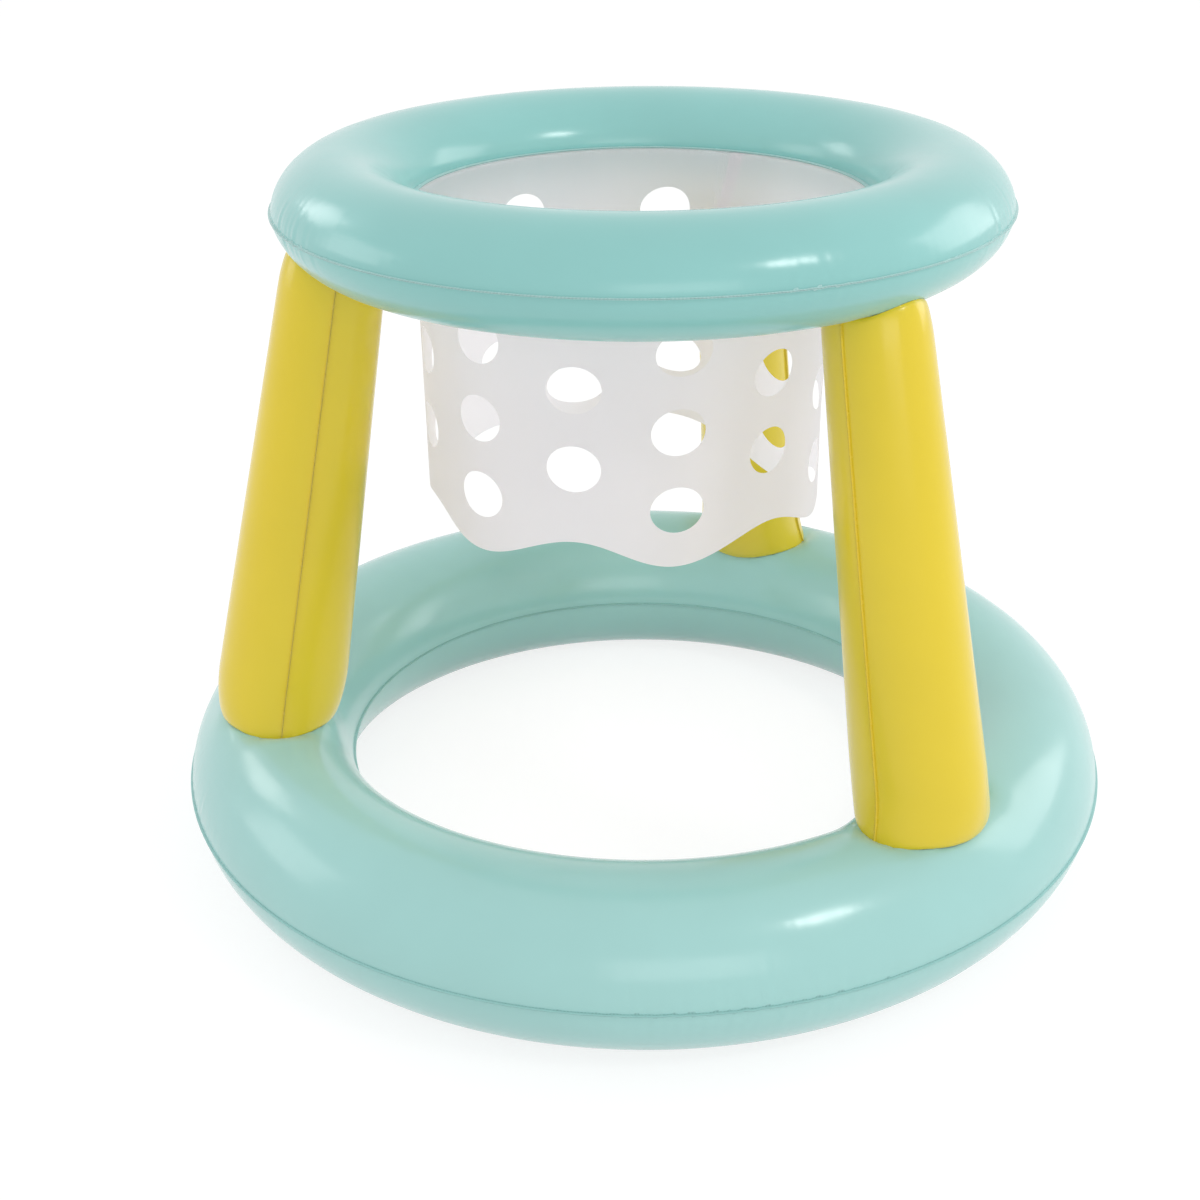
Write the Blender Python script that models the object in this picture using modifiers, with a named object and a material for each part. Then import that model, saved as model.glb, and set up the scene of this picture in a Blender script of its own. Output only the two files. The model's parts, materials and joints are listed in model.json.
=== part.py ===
"""Floating basketball hoop: inflatable base ring, three legs, hoop ring and punched vinyl net.

Metres, +Z up. The toy stands on the flat under its base ring, with its axis on the Z axis.
Every air chamber is a pair of vinyl panels that meet at welded seams, and each has one valve.
Angles are measured round the Z axis from +X; the open front between two legs faces -Y.
"""
import math
from collections import namedtuple

import bmesh
import bpy
from mathutils import Matrix, Vector

COLLECTION_NAME = "floating_basketball_hoop"

# Overall sizes
OVERALL_DIAMETER = 0.860
OVERALL_HEIGHT = 0.640

# Vinyl skin, its welded seams, and the clearance between pieces that touch
VINYL_THICKNESS = 0.0003
CONTACT_GAP = 0.0003
SEAM_LIP = 0.0020
SEAM_PINCH = 1.15

# Base ring
BASE_TUBE_WIDTH = 0.150
BASE_TUBE_HEIGHT = 0.151
BASE_FLAT_WIDTH = 0.030
BASE_STEPS = 48

# Hoop ring: its inner lip is wider, because the net's hem is welded under it
HOOP_DIAMETER = 0.622
HOOP_TUBE_WIDTH = 0.112
HOOP_TUBE_HEIGHT = 0.091
HOOP_INNER_LIP = 0.004
HOOP_STEPS = 40

# Legs: each axis runs a little inside the tubes' centre lines, at the base ring's crest and the hoop's seam
LEG_FOOT_INSET = 0.012
LEG_HEAD_INSET = 0.001
LEG_FOOT_DIAMETER = 0.098
LEG_BELLY_DIAMETER = 0.110
LEG_HEAD_DIAMETER = 0.080
LEG_BELLY_HEIGHT = 0.050
LEG_SINK = 0.045
LEG_RADIAL_SHARE = 1.04
LEG_TANGENT_SHARE = 0.93
LEG_ANGLES = {"left": math.radians(192.5), "right": math.radians(312.5), "back": math.radians(69)}

# Net: one strip, lap-welded at the back, that hangs a little to the left of the hoop's axis
NET_TAPER = 0.018
NET_DROP = 0.266
NET_LEFT_SWING = 0.017
NET_SCALLOP_HEIGHT = 0.022
NET_HANG_POWER = 4
NET_LAP_WIDTH = 0.012
NET_LAP_ANGLE = math.radians(62)
NET_COLUMNS = 48
NET_WALL_ROWS = 5

# Columns of oval holes, clockwise from the lap: a lobe and a notch of the net's edge lie under them
# in turn, and the holes start lower over a lobe than over a notch
HOLE_COLUMN_DEGREES = (46.5, 16, -15, -45.5, -74.7, -102.5, -131.3, -168, -202, -233, -257, -282)
HOLE_WIDTH = 0.046
HOLE_HEIGHT = 0.040
HOLE_PITCH = 0.067
HOLE_ROWS = 3
HOLE_LOBE_MARGIN = 0.050
HOLE_NOTCH_MARGIN = 0.064
HOLE_SIDES = 14

# Inflation valves
PATCH_DIAMETER = 0.034
PATCH_THICKNESS = 0.0010
PORT_DIAMETER = 0.022
STEM_DIAMETER = 0.009
STEM_BORE = 0.005
STEM_RISE = 0.0012
STEM_TRAVEL = 0.012
STEM_STOP_DIAMETER = 0.0115
STEM_STOP_THICKNESS = 0.0012
STEM_STOP_CLEARANCE = 0.0020
STEM_HOLE_CLEARANCE = 0.0009
STEM_LUG_WIDTH = 0.0036
STEM_LUG_THICKNESS = 0.0012
PLUG_HINGE_OFFSET = 0.0080
PLUG_HINGE_DIAMETER = 0.0016
PLUG_CAP_THICKNESS = 0.0015
PLUG_PIN_LENGTH = 0.0040
PLUG_PIN_ROOT_DIAMETER = 0.0044
PLUG_PIN_TIP_DIAMETER = 0.0022
PLUG_STRAP_WIDTH = 0.0030
PLUG_STRAP_THICKNESS = 0.0010
FLAP_DIAMETER = 0.0070
FLAP_THICKNESS = 0.0005
VALVE_SIDES = 12

# Where the valves sit: on the far side of both rings, and on each leg's inner panel, turned a little
# to the back on both front legs
BASE_VALVE_ANGLE = math.radians(120)
BASE_VALVE_TUBE_ANGLE_SHARE = 0.25
HOOP_VALVE_ANGLE = math.radians(117)
HOOP_VALVE_TUBE_ANGLE_SHARE = 1 / 6
LEG_VALVE_ROW = 5
LEG_VALVE_TURNS = {"left": math.radians(45), "right": math.radians(-45), "back": 0}

# How finely the soft forms are cut
BASE_ARC_SEGMENTS = 8
HOOP_ARC_SEGMENTS = 6
LEG_ARC_SEGMENTS = 8
LEG_ROW_SHARES = (0.0, 0.05, 0.10, 0.22, 0.42, 0.62, 0.83, 1.0)
CUTTER_OVERRUN = 0.006
MERGE_DISTANCE = 0.00001

MINT = (0.40, 0.74, 0.70, 1)
YELLOW = (0.87, 0.74, 0.12, 1)
WHITE = (0.80, 0.79, 0.82, 1)
CLEAR = (0.85, 0.88, 0.88, 1)

Ring = namedtuple("Ring", "radius half_width rise seam_height inner_lip steps")

SEAM_FACE = CONTACT_GAP / 2
SKIN_BASE = SEAM_FACE + VINYL_THICKNESS

BASE_RING = Ring(
    radius=OVERALL_DIAMETER / 2 - SEAM_LIP - BASE_TUBE_WIDTH / 2,
    half_width=BASE_TUBE_WIDTH / 2,
    rise=BASE_TUBE_HEIGHT / 2 - SKIN_BASE,
    seam_height=BASE_TUBE_HEIGHT / 2,
    inner_lip=SEAM_LIP,
    steps=BASE_STEPS,
)
HOOP_RING = Ring(
    radius=HOOP_DIAMETER / 2 - SEAM_LIP - HOOP_TUBE_WIDTH / 2,
    half_width=HOOP_TUBE_WIDTH / 2,
    rise=HOOP_TUBE_HEIGHT / 2 - SKIN_BASE,
    seam_height=OVERALL_HEIGHT - HOOP_TUBE_HEIGHT / 2,
    inner_lip=HOOP_INNER_LIP,
    steps=HOOP_STEPS,
)


# Scene, materials and modelling steps that every piece shares


def clear_scene():
    for item in list(bpy.data.objects):
        bpy.data.objects.remove(item, do_unlink=True)


def new_collection(name):
    collection = bpy.data.collections.new(name)
    bpy.context.scene.collection.children.link(collection)
    return collection


def vinyl(name, colour, roughness):
    material = bpy.data.materials.new(name)
    material.use_nodes = True
    shader = material.node_tree.nodes["Principled BSDF"]
    shader.inputs["Base Color"].default_value = colour
    shader.inputs["Roughness"].default_value = roughness
    shader.inputs["Metallic"].default_value = 0
    return material


class Model:
    """The part's collection, its cutters and its materials."""

    def __init__(self):
        self.parts = new_collection(COLLECTION_NAME)
        self.cutters = new_collection("cutters")
        self.mint = vinyl("mint_vinyl", MINT, 0.22)
        self.yellow = vinyl("yellow_vinyl", YELLOW, 0.25)
        self.white = vinyl("white_vinyl", WHITE, 0.40)
        self.clear = vinyl("clear_vinyl", CLEAR, 0.30)

    def piece(self, name, mesh, material, parent=None, location=(0, 0, 0)):
        item = bpy.data.objects.new(name, mesh)
        self.parts.objects.link(item)
        item.parent = parent
        item.location = location
        if mesh.materials:
            mesh.materials[0] = material
        else:
            mesh.materials.append(material)
        return item

    def cutter(self, name, mesh, matrix=None):
        item = bpy.data.objects.new(name, mesh)
        self.cutters.objects.link(item)
        item.hide_render = True
        item.display_type = "WIRE"
        if matrix is not None:
            item.matrix_world = matrix
        return item

    def frame(self, name, matrix):
        empty = bpy.data.objects.new(name, None)
        self.parts.objects.link(empty)
        empty.matrix_world = matrix
        return empty


def boolean(item, cutter, operation):
    modifier = item.modifiers.new(f"{operation.lower()}_{cutter.name}"[:60], "BOOLEAN")
    modifier.operation = operation
    modifier.solver = "EXACT"
    modifier.object = cutter


def solidify(item, thickness):
    modifier = item.modifiers.new("skin", "SOLIDIFY")
    modifier.thickness = thickness
    modifier.offset = -1
    modifier.use_even_offset = True


def profile_mesh(name, points):
    """A closed outline in the XZ plane, from (radius, height) points."""
    mesh = bpy.data.meshes.new(name)
    edges = [(index, (index + 1) % len(points)) for index in range(len(points))]
    mesh.from_pydata([(radius, 0, height) for radius, height in points], edges, [])
    return mesh


def turn(item, steps):
    """Turn a profile once round the object's Z axis."""
    modifier = item.modifiers.new("turn", "SCREW")
    modifier.axis = "Z"
    modifier.angle = math.tau
    modifier.steps = steps
    modifier.render_steps = steps
    modifier.use_merge_vertices = True
    modifier.merge_threshold = MERGE_DISTANCE
    modifier.use_smooth_shade = True


def mapped_grid(name, columns, rows, place):
    """A grid whose vertex at column c and row r is moved to place(c, r)."""
    mesh = bpy.data.meshes.new(name)
    bm = bmesh.new()
    bmesh.ops.create_grid(bm, x_segments=columns, y_segments=rows, size=1)
    for vertex in bm.verts:
        column = round((vertex.co.x + 1) / 2 * columns)
        row = round((vertex.co.y + 1) / 2 * rows)
        vertex.co = place(column, row)
    for face in bm.faces:
        face.smooth = True
    bm.to_mesh(mesh)
    bm.free()
    return mesh


def rod_mesh(name, width, depth, height, sides):
    """A closed cylinder along Z, centred on its origin, with an oval section if width and depth differ."""
    mesh = bpy.data.meshes.new(name)
    bm = bmesh.new()
    bmesh.ops.create_cone(bm, cap_ends=True, segments=sides, radius1=1, radius2=1, depth=1)
    bmesh.ops.scale(bm, vec=(width / 2, depth / 2, height), verts=bm.verts)
    bm.to_mesh(mesh)
    bm.free()
    return mesh


def box_mesh(name, low, high):
    mesh = bpy.data.meshes.new(name)
    bm = bmesh.new()
    bmesh.ops.create_cube(bm, size=1)
    low, high = Vector(low), Vector(high)
    bmesh.ops.scale(bm, vec=high - low, verts=bm.verts)
    bmesh.ops.translate(bm, vec=(low + high) / 2, verts=bm.verts)
    bm.to_mesh(mesh)
    bm.free()
    return mesh


def baked_mesh(item, name):
    """The object's mesh with its modifiers applied; the object itself is removed."""
    bpy.context.view_layer.update()
    evaluated = item.evaluated_get(bpy.context.evaluated_depsgraph_get())
    mesh = bpy.data.meshes.new_from_object(evaluated)
    mesh.name = name
    bpy.data.objects.remove(item, do_unlink=True)
    return mesh


# Rings


def skin_point(ring, side, angle, depth):
    """(radius, height) on a ring's tube: angle runs from the outer seam over the crest to the inner
    seam, side is 1 above the seam and -1 below it, and depth is measured in from the outer face."""
    rise = ring.rise * abs(math.sin(angle)) ** SEAM_PINCH
    radius = ring.radius + (ring.half_width - depth) * math.cos(angle)
    return radius, ring.seam_height + side * (SKIN_BASE + rise - depth)


def arc_angles(segments, flat_angle=0):
    """Angles over half a tube; with a flat angle, its middle segment is level and that wide."""
    if not flat_angle:
        return [math.pi * index / segments for index in range(segments + 1)]
    half = segments // 2
    first = [(math.pi / 2 - flat_angle) * index / half for index in range(half + 1)]
    return first + [math.pi - angle for angle in reversed(first)]


def panel_profile(ring, side, angles):
    """Closed section of one panel: its outer face, its lips and its inner face."""
    outer_tip = ring.radius + ring.half_width + SEAM_LIP
    inner_tip = ring.radius - ring.half_width - ring.inner_lip
    lip_face = ring.seam_height + side * SKIN_BASE
    seam_face = ring.seam_height + side * SEAM_FACE
    points = [(inner_tip, lip_face)]
    points += [skin_point(ring, side, angle, 0) for angle in reversed(angles)]
    points += [(outer_tip, lip_face), (outer_tip, seam_face)]
    points += [skin_point(ring, side, angle, VINYL_THICKNESS) for angle in angles]
    points += [(inner_tip, seam_face)]
    return points if side > 0 else list(reversed(points))


def envelope_profile(ring, upper_angles, lower_angles, clearance):
    """Closed section of a whole ring, lips and all, grown by a clearance."""
    outer_tip = ring.radius + ring.half_width + SEAM_LIP + clearance
    inner_tip = ring.radius - ring.half_width - ring.inner_lip - clearance
    reach = SKIN_BASE + clearance
    points = [(inner_tip, ring.seam_height + reach)]
    points += [skin_point(ring, 1, angle, -clearance) for angle in reversed(upper_angles)]
    points += [(outer_tip, ring.seam_height + reach), (outer_tip, ring.seam_height - reach)]
    points += [skin_point(ring, -1, angle, -clearance) for angle in lower_angles]
    points += [(inner_tip, ring.seam_height - reach)]
    return points


def layer_profile(ring, side, angles, outer_depth, inner_depth):
    """Closed section of a thin layer that follows the ring's skin at a given depth."""
    points = [skin_point(ring, side, angle, outer_depth) for angle in reversed(angles)]
    points += [skin_point(ring, side, angle, inner_depth) for angle in angles]
    return points if side > 0 else list(reversed(points))


def ring_panel(model, name, ring, side, angles):
    mesh = profile_mesh(name, panel_profile(ring, side, angles))
    item = model.piece(name, mesh, model.mint)
    turn(item, ring.steps)
    return item


def base_lower_angles():
    half_flat = math.asin(BASE_FLAT_WIDTH / BASE_TUBE_WIDTH)
    return arc_angles(BASE_ARC_SEGMENTS, half_flat)


def base_ring(model):
    """Build both panels of the base ring; its tube is lowered by what the flat takes off."""
    upper_angles = arc_angles(BASE_ARC_SEGMENTS)
    lower_angles = base_lower_angles()
    flat_rise = math.sin(lower_angles[BASE_ARC_SEGMENTS // 2]) ** SEAM_PINCH
    seated = BASE_RING._replace(seam_height=SKIN_BASE + BASE_RING.rise * flat_rise)
    upper = ring_panel(model, "base_ring_upper_panel", seated, 1, upper_angles)
    ring_panel(model, "base_ring_lower_panel", seated, -1, lower_angles)
    return seated, upper


def hoop_ring(model):
    angles = arc_angles(HOOP_ARC_SEGMENTS)
    ring_panel(model, "hoop_ring_lower_panel", HOOP_RING, -1, angles)
    return ring_panel(model, "hoop_ring_upper_panel", HOOP_RING, 1, angles)


def ring_envelope(model, name, ring, upper_angles, lower_angles):
    profile = envelope_profile(ring, upper_angles, lower_angles, CONTACT_GAP)
    item = model.cutter(name, profile_mesh(name, profile))
    turn(item, ring.steps)
    return item


# Legs


class Leg:
    """One leaning leg. Its local X points away from the hoop's axis and its local Z runs up the leg."""

    def __init__(self, base, angle):
        foot_height = base.seam_height + SKIN_BASE + base.rise
        foot = Vector((base.radius - LEG_FOOT_INSET, 0, foot_height))
        head = Vector((HOOP_RING.radius - LEG_HEAD_INSET, 0, HOOP_RING.seam_height))
        self.length = (head - foot).length
        up = (head - foot).normalized()
        across = Vector((0, 1, 0))
        axes = Matrix((across.cross(up), across, up)).transposed()
        turn_round = Matrix.Rotation(angle, 4, "Z")
        self.matrix = turn_round @ Matrix.Translation(foot) @ axes.to_4x4()

    def row_height(self, row):
        """Distance along the leg of one row of points; the first row is sunk in the base ring."""
        if row == 0:
            return -LEG_SINK
        return self.length * LEG_ROW_SHARES[row - 1]

    def diameter(self, height):
        if height <= 0:
            return LEG_FOOT_DIAMETER
        if height < LEG_BELLY_HEIGHT:
            swell = math.sqrt(1 - (1 - height / LEG_BELLY_HEIGHT) ** 2)
            return LEG_FOOT_DIAMETER + (LEG_BELLY_DIAMETER - LEG_FOOT_DIAMETER) * swell
        rest = (height - LEG_BELLY_HEIGHT) / (self.length - LEG_BELLY_HEIGHT)
        return LEG_BELLY_DIAMETER + (LEG_HEAD_DIAMETER - LEG_BELLY_DIAMETER) * rest

    def skin(self, angle, height, depth):
        """Local point on the leg's wall: angle 0 is its outer side, pi its inner side."""
        return self.section(angle, height, depth, self.diameter(height))

    def section(self, angle, height, depth, diameter):
        """Local point on a section of a given diameter, at a depth below the outer face."""
        radius = diameter / 2
        across = (radius * LEG_RADIAL_SHARE - depth) * math.cos(angle)
        along = (radius * LEG_TANGENT_SHARE - depth) * math.sin(angle)
        side = 1 if math.cos(angle) > 0 else -1
        return Vector((across + side * (SKIN_BASE - depth), along, height))


def leg_panel_mesh(leg, name, facing):
    """Half of a leg's wall with a lip along both seams; facing is 1 outwards and -1 inwards."""
    columns = LEG_ARC_SEGMENTS + 2
    rows = len(LEG_ROW_SHARES)

    def place(column, row):
        height = leg.row_height(row)
        radius = leg.diameter(height) / 2
        if column in (0, columns):
            side = 1 if column else -1
            along = side * (radius * LEG_TANGENT_SHARE + SEAM_LIP)
            return Vector((facing * SKIN_BASE, facing * along, height))
        angle = math.pi * ((column - 1) / LEG_ARC_SEGMENTS - 0.5)
        across = radius * LEG_RADIAL_SHARE * math.cos(angle)
        along = radius * LEG_TANGENT_SHARE * math.sin(angle)
        return Vector((facing * (SKIN_BASE + across), facing * along, height))

    return mapped_grid(name, columns, rows, place)


def leg_core(model, leg, name, low, high):
    """Closed solid of the space inside a leg between two heights, for cutting its end discs."""
    mesh = rod_mesh(name, leg.diameter(low), leg.diameter(low), high - low, 2 * LEG_ARC_SEGMENTS)
    depth = VINYL_THICKNESS + CONTACT_GAP
    for vertex in mesh.vertices:
        height = high if vertex.co.z > 0 else low
        angle = math.atan2(vertex.co.y, vertex.co.x)
        narrowest = min(leg.diameter(low), leg.diameter(height))
        vertex.co = leg.section(angle, height, depth, narrowest)
    return model.cutter(name, mesh, leg.matrix)


def end_disc(model, leg, name, ring, side, angles, low, high):
    """Build the disc that closes a leg's end: a layer on the ring's skin, cut to the leg's inside."""
    profile = layer_profile(ring, side, angles, -CONTACT_GAP - VINYL_THICKNESS, -CONTACT_GAP)
    item = model.piece(name, profile_mesh(name, profile), model.yellow)
    turn(item, ring.steps)
    boolean(item, leg_core(model, leg, f"{name}_core", low, high), "INTERSECT")


def build_leg(model, base, side_name, angle, base_envelope, hoop_envelope):
    leg = Leg(base, angle)
    panels = {}
    for panel_name, facing in (("outer", 1), ("inner", -1)):
        name = f"{side_name}_leg_{panel_name}_panel"
        item = model.piece(name, leg_panel_mesh(leg, name, facing), model.yellow)
        item.matrix_world = leg.matrix
        solidify(item, VINYL_THICKNESS)
        boolean(item, base_envelope, "DIFFERENCE")
        boolean(item, hoop_envelope, "DIFFERENCE")
        panels[panel_name] = item
    base_angles = arc_angles(BASE_ARC_SEGMENTS)[1:-1]
    hoop_angles = arc_angles(HOOP_ARC_SEGMENTS)
    end_disc(model, leg, f"{side_name}_leg_foot_disc", base, 1, base_angles, -LEG_SINK, CUTTER_OVERRUN)
    last_row = leg.row_height(len(LEG_ROW_SHARES) - 1)
    end_disc(model, leg, f"{side_name}_leg_head_disc", HOOP_RING, -1, hoop_angles, last_row, leg.length)
    return leg, panels


# Net


def net_hang(share):
    """How far the net has drawn in and swung at a share of its drop: 0 at the hem, 1 below."""
    return 1 - (1 - share) ** NET_HANG_POWER


def net_lip_radius():
    return HOOP_RING.radius - HOOP_RING.half_width - HOOP_RING.inner_lip


def net_point(angle, share, bottom, lift=0):
    """Point on the net's inner face at a share of the way down to the given bottom height."""
    top = net_hem_height()
    hang = net_hang(share)
    radius = net_lip_radius() - NET_TAPER * hang + lift
    height = top + (bottom - top) * share
    swing = NET_LEFT_SWING * hang
    return Vector((radius * math.cos(angle) - swing, radius * math.sin(angle), height))


def net_hem_height():
    return HOOP_RING.seam_height - SKIN_BASE - CONTACT_GAP


def scallop_turn(angle):
    """Where an angle lies in the scallops: an even number of half turns under a lobe, odd in a notch."""
    first = HOLE_COLUMN_DEGREES[0]
    stops = [math.radians(first - degrees) for degrees in HOLE_COLUMN_DEGREES] + [math.tau]
    gone = (math.radians(first) - angle) % math.tau
    index = sum(gone >= stop for stop in stops) - 1
    return math.pi * (index + (gone - stops[index]) / (stops[index + 1] - stops[index]))


def net_bottom(angle):
    wave = math.cos(scallop_turn(angle))
    return net_hem_height() - NET_DROP + NET_SCALLOP_HEIGHT / 2 * (1 - wave)


def net_mesh(name):
    lap_angle = NET_LAP_WIDTH / (net_lip_radius() - NET_TAPER)
    lap_lift = VINYL_THICKNESS + CONTACT_GAP
    facet_share = math.cos(math.pi / HOOP_RING.steps)
    hem_radius = (HOOP_RING.radius - HOOP_RING.half_width) * facet_share - CONTACT_GAP

    def place(column, row):
        turned = math.tau * column / NET_COLUMNS
        if column > NET_COLUMNS:
            turned = math.tau + lap_angle
        angle = NET_LAP_ANGLE - turned
        lift = lap_lift if column >= NET_COLUMNS else 0
        if row > NET_WALL_ROWS:
            height = net_hem_height() - lift
            return Vector((hem_radius * math.cos(angle), hem_radius * math.sin(angle), height))
        share = 1 - row / NET_WALL_ROWS
        point = net_point(angle, share, net_bottom(angle), lift)
        if row == NET_WALL_ROWS:
            point.z -= lift
        return point

    return mapped_grid(name, NET_COLUMNS + 1, NET_WALL_ROWS + 1, place)


def hole_cutters(model):
    """All the net's oval cutters, each a short rod that points away from the net's axis."""
    bm = bmesh.new()
    top = net_hem_height()
    for column, degrees in enumerate(HOLE_COLUMN_DEGREES):
        angle = math.radians(degrees)
        over_lobe = column % 2 == 0
        margin = HOLE_LOBE_MARGIN if over_lobe else HOLE_NOTCH_MARGIN
        bottom = net_bottom(angle)
        for row in range(HOLE_ROWS):
            height = bottom + margin + row * HOLE_PITCH
            centre = net_point(angle, (top - height) / (top - bottom), bottom)
            rod = rod_mesh("hole", HOLE_WIDTH, HOLE_HEIGHT, 2 * CUTTER_OVERRUN, HOLE_SIDES)
            rod.transform(Matrix.Rotation(math.pi / 2, 4, "X"))
            rod.transform(Matrix.Rotation(angle + math.pi / 2, 4, "Z"))
            rod.transform(Matrix.Translation(centre))
            bm.from_mesh(rod)
            bpy.data.meshes.remove(rod)
    mesh = bpy.data.meshes.new("net_holes")
    bm.to_mesh(mesh)
    bm.free()
    return model.cutter("net_holes", mesh)


def net(model):
    item = model.piece("net_skirt", net_mesh("net_skirt"), model.white)
    solidify(item, VINYL_THICKNESS)
    boolean(item, hole_cutters(model), "DIFFERENCE")


# Valves


def stem_bottom():
    """Height of the stem's inner end below the skin, so that its stop meets the patch when pulled out."""
    patch_underside = VINYL_THICKNESS + CONTACT_GAP + PATCH_THICKNESS
    return -(patch_underside + STEM_STOP_CLEARANCE + STEM_TRAVEL + STEM_STOP_THICKNESS)


def stem_mesh(model):
    """Stem turned about its own axis, with a lug at its top that carries the plug's strap."""
    bottom = stem_bottom()
    stop_top = bottom + STEM_STOP_THICKNESS
    bore, wall, stop = STEM_BORE / 2, STEM_DIAMETER / 2, STEM_STOP_DIAMETER / 2
    profile = [(bore, STEM_RISE), (wall, STEM_RISE), (wall, stop_top), (stop, stop_top)]
    profile += [(stop, bottom), (bore, bottom)]
    item = model.piece("stem_master", profile_mesh("stem_profile", profile), model.clear)
    turn(item, VALVE_SIDES)
    half_lug = STEM_LUG_WIDTH / 2
    lug_end = PLUG_HINGE_OFFSET + PLUG_HINGE_DIAMETER
    low = ((bore + wall) / 2, -half_lug, STEM_RISE - STEM_LUG_THICKNESS)
    lug = model.cutter("stem_lug", box_mesh("stem_lug", low, (lug_end, half_lug, STEM_RISE)))
    boolean(item, lug, "UNION")
    return baked_mesh(item, "valve_stem")


def hinge_height():
    return STEM_RISE + CONTACT_GAP + PLUG_HINGE_DIAMETER / 2


def plug_mesh(model):
    """Plug with its tapered pin, strap and hinge bead, drawn with its origin on the hinge axis."""
    underside = STEM_RISE + CONTACT_GAP - hinge_height()
    cap_top = underside + PLUG_CAP_THICKNESS
    cap, root, tip = STEM_DIAMETER / 2, PLUG_PIN_ROOT_DIAMETER / 2, PLUG_PIN_TIP_DIAMETER / 2
    pin_end = underside - PLUG_PIN_LENGTH
    outline = [(0, cap_top), (cap, cap_top), (cap, underside), (root, underside), (tip, pin_end), (0, pin_end)]
    mesh = profile_mesh("plug_profile", outline)
    item = model.piece("plug_master", mesh, model.clear)
    turn(item, VALVE_SIDES)
    half_strap = PLUG_STRAP_WIDTH / 2
    low = (root, -half_strap, underside)
    high = (PLUG_HINGE_OFFSET, half_strap, underside + PLUG_STRAP_THICKNESS)
    boolean(item, model.cutter("plug_strap", box_mesh("plug_strap", low, high)), "UNION")
    bead_size = PLUG_HINGE_DIAMETER
    bead = rod_mesh("plug_bead", bead_size, bead_size, PLUG_STRAP_WIDTH, VALVE_SIDES)
    place = Matrix.Translation((PLUG_HINGE_OFFSET, 0, 0)) @ Matrix.Rotation(math.pi / 2, 4, "X")
    boolean(item, model.cutter("plug_bead", bead, place), "UNION")
    result = baked_mesh(item, "valve_plug")
    result.transform(Matrix.Translation((-PLUG_HINGE_OFFSET, 0, 0)))
    return result


def flap_mesh():
    """Round flap whose origin is on its hinge, at its top face and +X edge."""
    mesh = rod_mesh("valve_flap", FLAP_DIAMETER, FLAP_DIAMETER, FLAP_THICKNESS, VALVE_SIDES)
    mesh.transform(Matrix.Translation((-FLAP_DIAMETER / 2, 0, -FLAP_THICKNESS / 2)))
    return mesh


def valve(model, name, frame_matrix, panel, patch, meshes):
    """Cut the port in a panel, trim the patch and place the moving pieces, in the valve's own frame:
    its Z axis points out of the skin and its X axis towards the plug's hinge."""
    reach = 2 * (CUTTER_OVERRUN + PATCH_THICKNESS)
    sides = 2 * VALVE_SIDES
    skewed = frame_matrix @ Matrix.Rotation(math.pi / (2 * sides), 4, "Z")
    port = rod_mesh(f"{name}_port", PORT_DIAMETER, PORT_DIAMETER, reach, sides)
    boolean(panel, model.cutter(f"{name}_port", port, skewed), "DIFFERENCE")
    rim = rod_mesh(f"{name}_rim", PATCH_DIAMETER, PATCH_DIAMETER, reach, sides)
    boolean(patch, model.cutter(f"{name}_rim", rim, skewed), "INTERSECT")
    hole_size = STEM_DIAMETER + STEM_HOLE_CLEARANCE
    hole = rod_mesh(f"{name}_hole", hole_size, hole_size, reach, sides)
    boolean(patch, model.cutter(f"{name}_hole", hole, skewed), "DIFFERENCE")
    frame = model.frame(f"{name}_frame", frame_matrix)
    stem, plug, flap = meshes
    model.piece(f"{name}_stem", stem, model.clear, frame)
    model.piece(f"{name}_plug", plug, model.clear, frame, (PLUG_HINGE_OFFSET, 0, hinge_height()))
    flap_top = stem_bottom() - CONTACT_GAP
    model.piece(f"{name}_flap", flap, model.clear, frame, (FLAP_DIAMETER / 2, 0, flap_top))


def patch_depths():
    outer = VINYL_THICKNESS + CONTACT_GAP
    return outer, outer + PATCH_THICKNESS


def ring_valve(model, name, ring, segments, round_angle, tube_share, panel, meshes):
    """Valve on a ring's upper panel, a share of half a turn up from its outer seam."""
    angle = math.pi * tube_share
    outer, inner = patch_depths()
    outer_half = arc_angles(segments)[:segments // 2 + 1]
    profile = layer_profile(ring, 1, outer_half, outer, inner)
    patch = model.piece(f"{name}_patch", profile_mesh(f"{name}_patch", profile), model.clear)
    turn(patch, ring.steps)
    radius, height = skin_point(ring, 1, angle, 0)
    slope = Vector((math.cos(angle) / ring.half_width, 0, math.sin(angle) / ring.rise)).normalized()
    side = Vector((0, 1, 0))
    axes = Matrix((side, slope.cross(side), slope)).transposed()
    matrix = Matrix.Rotation(round_angle, 4, "Z") @ Matrix.Translation((radius, 0, height)) @ axes.to_4x4()
    valve(model, name, matrix, panel, patch, meshes)


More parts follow.
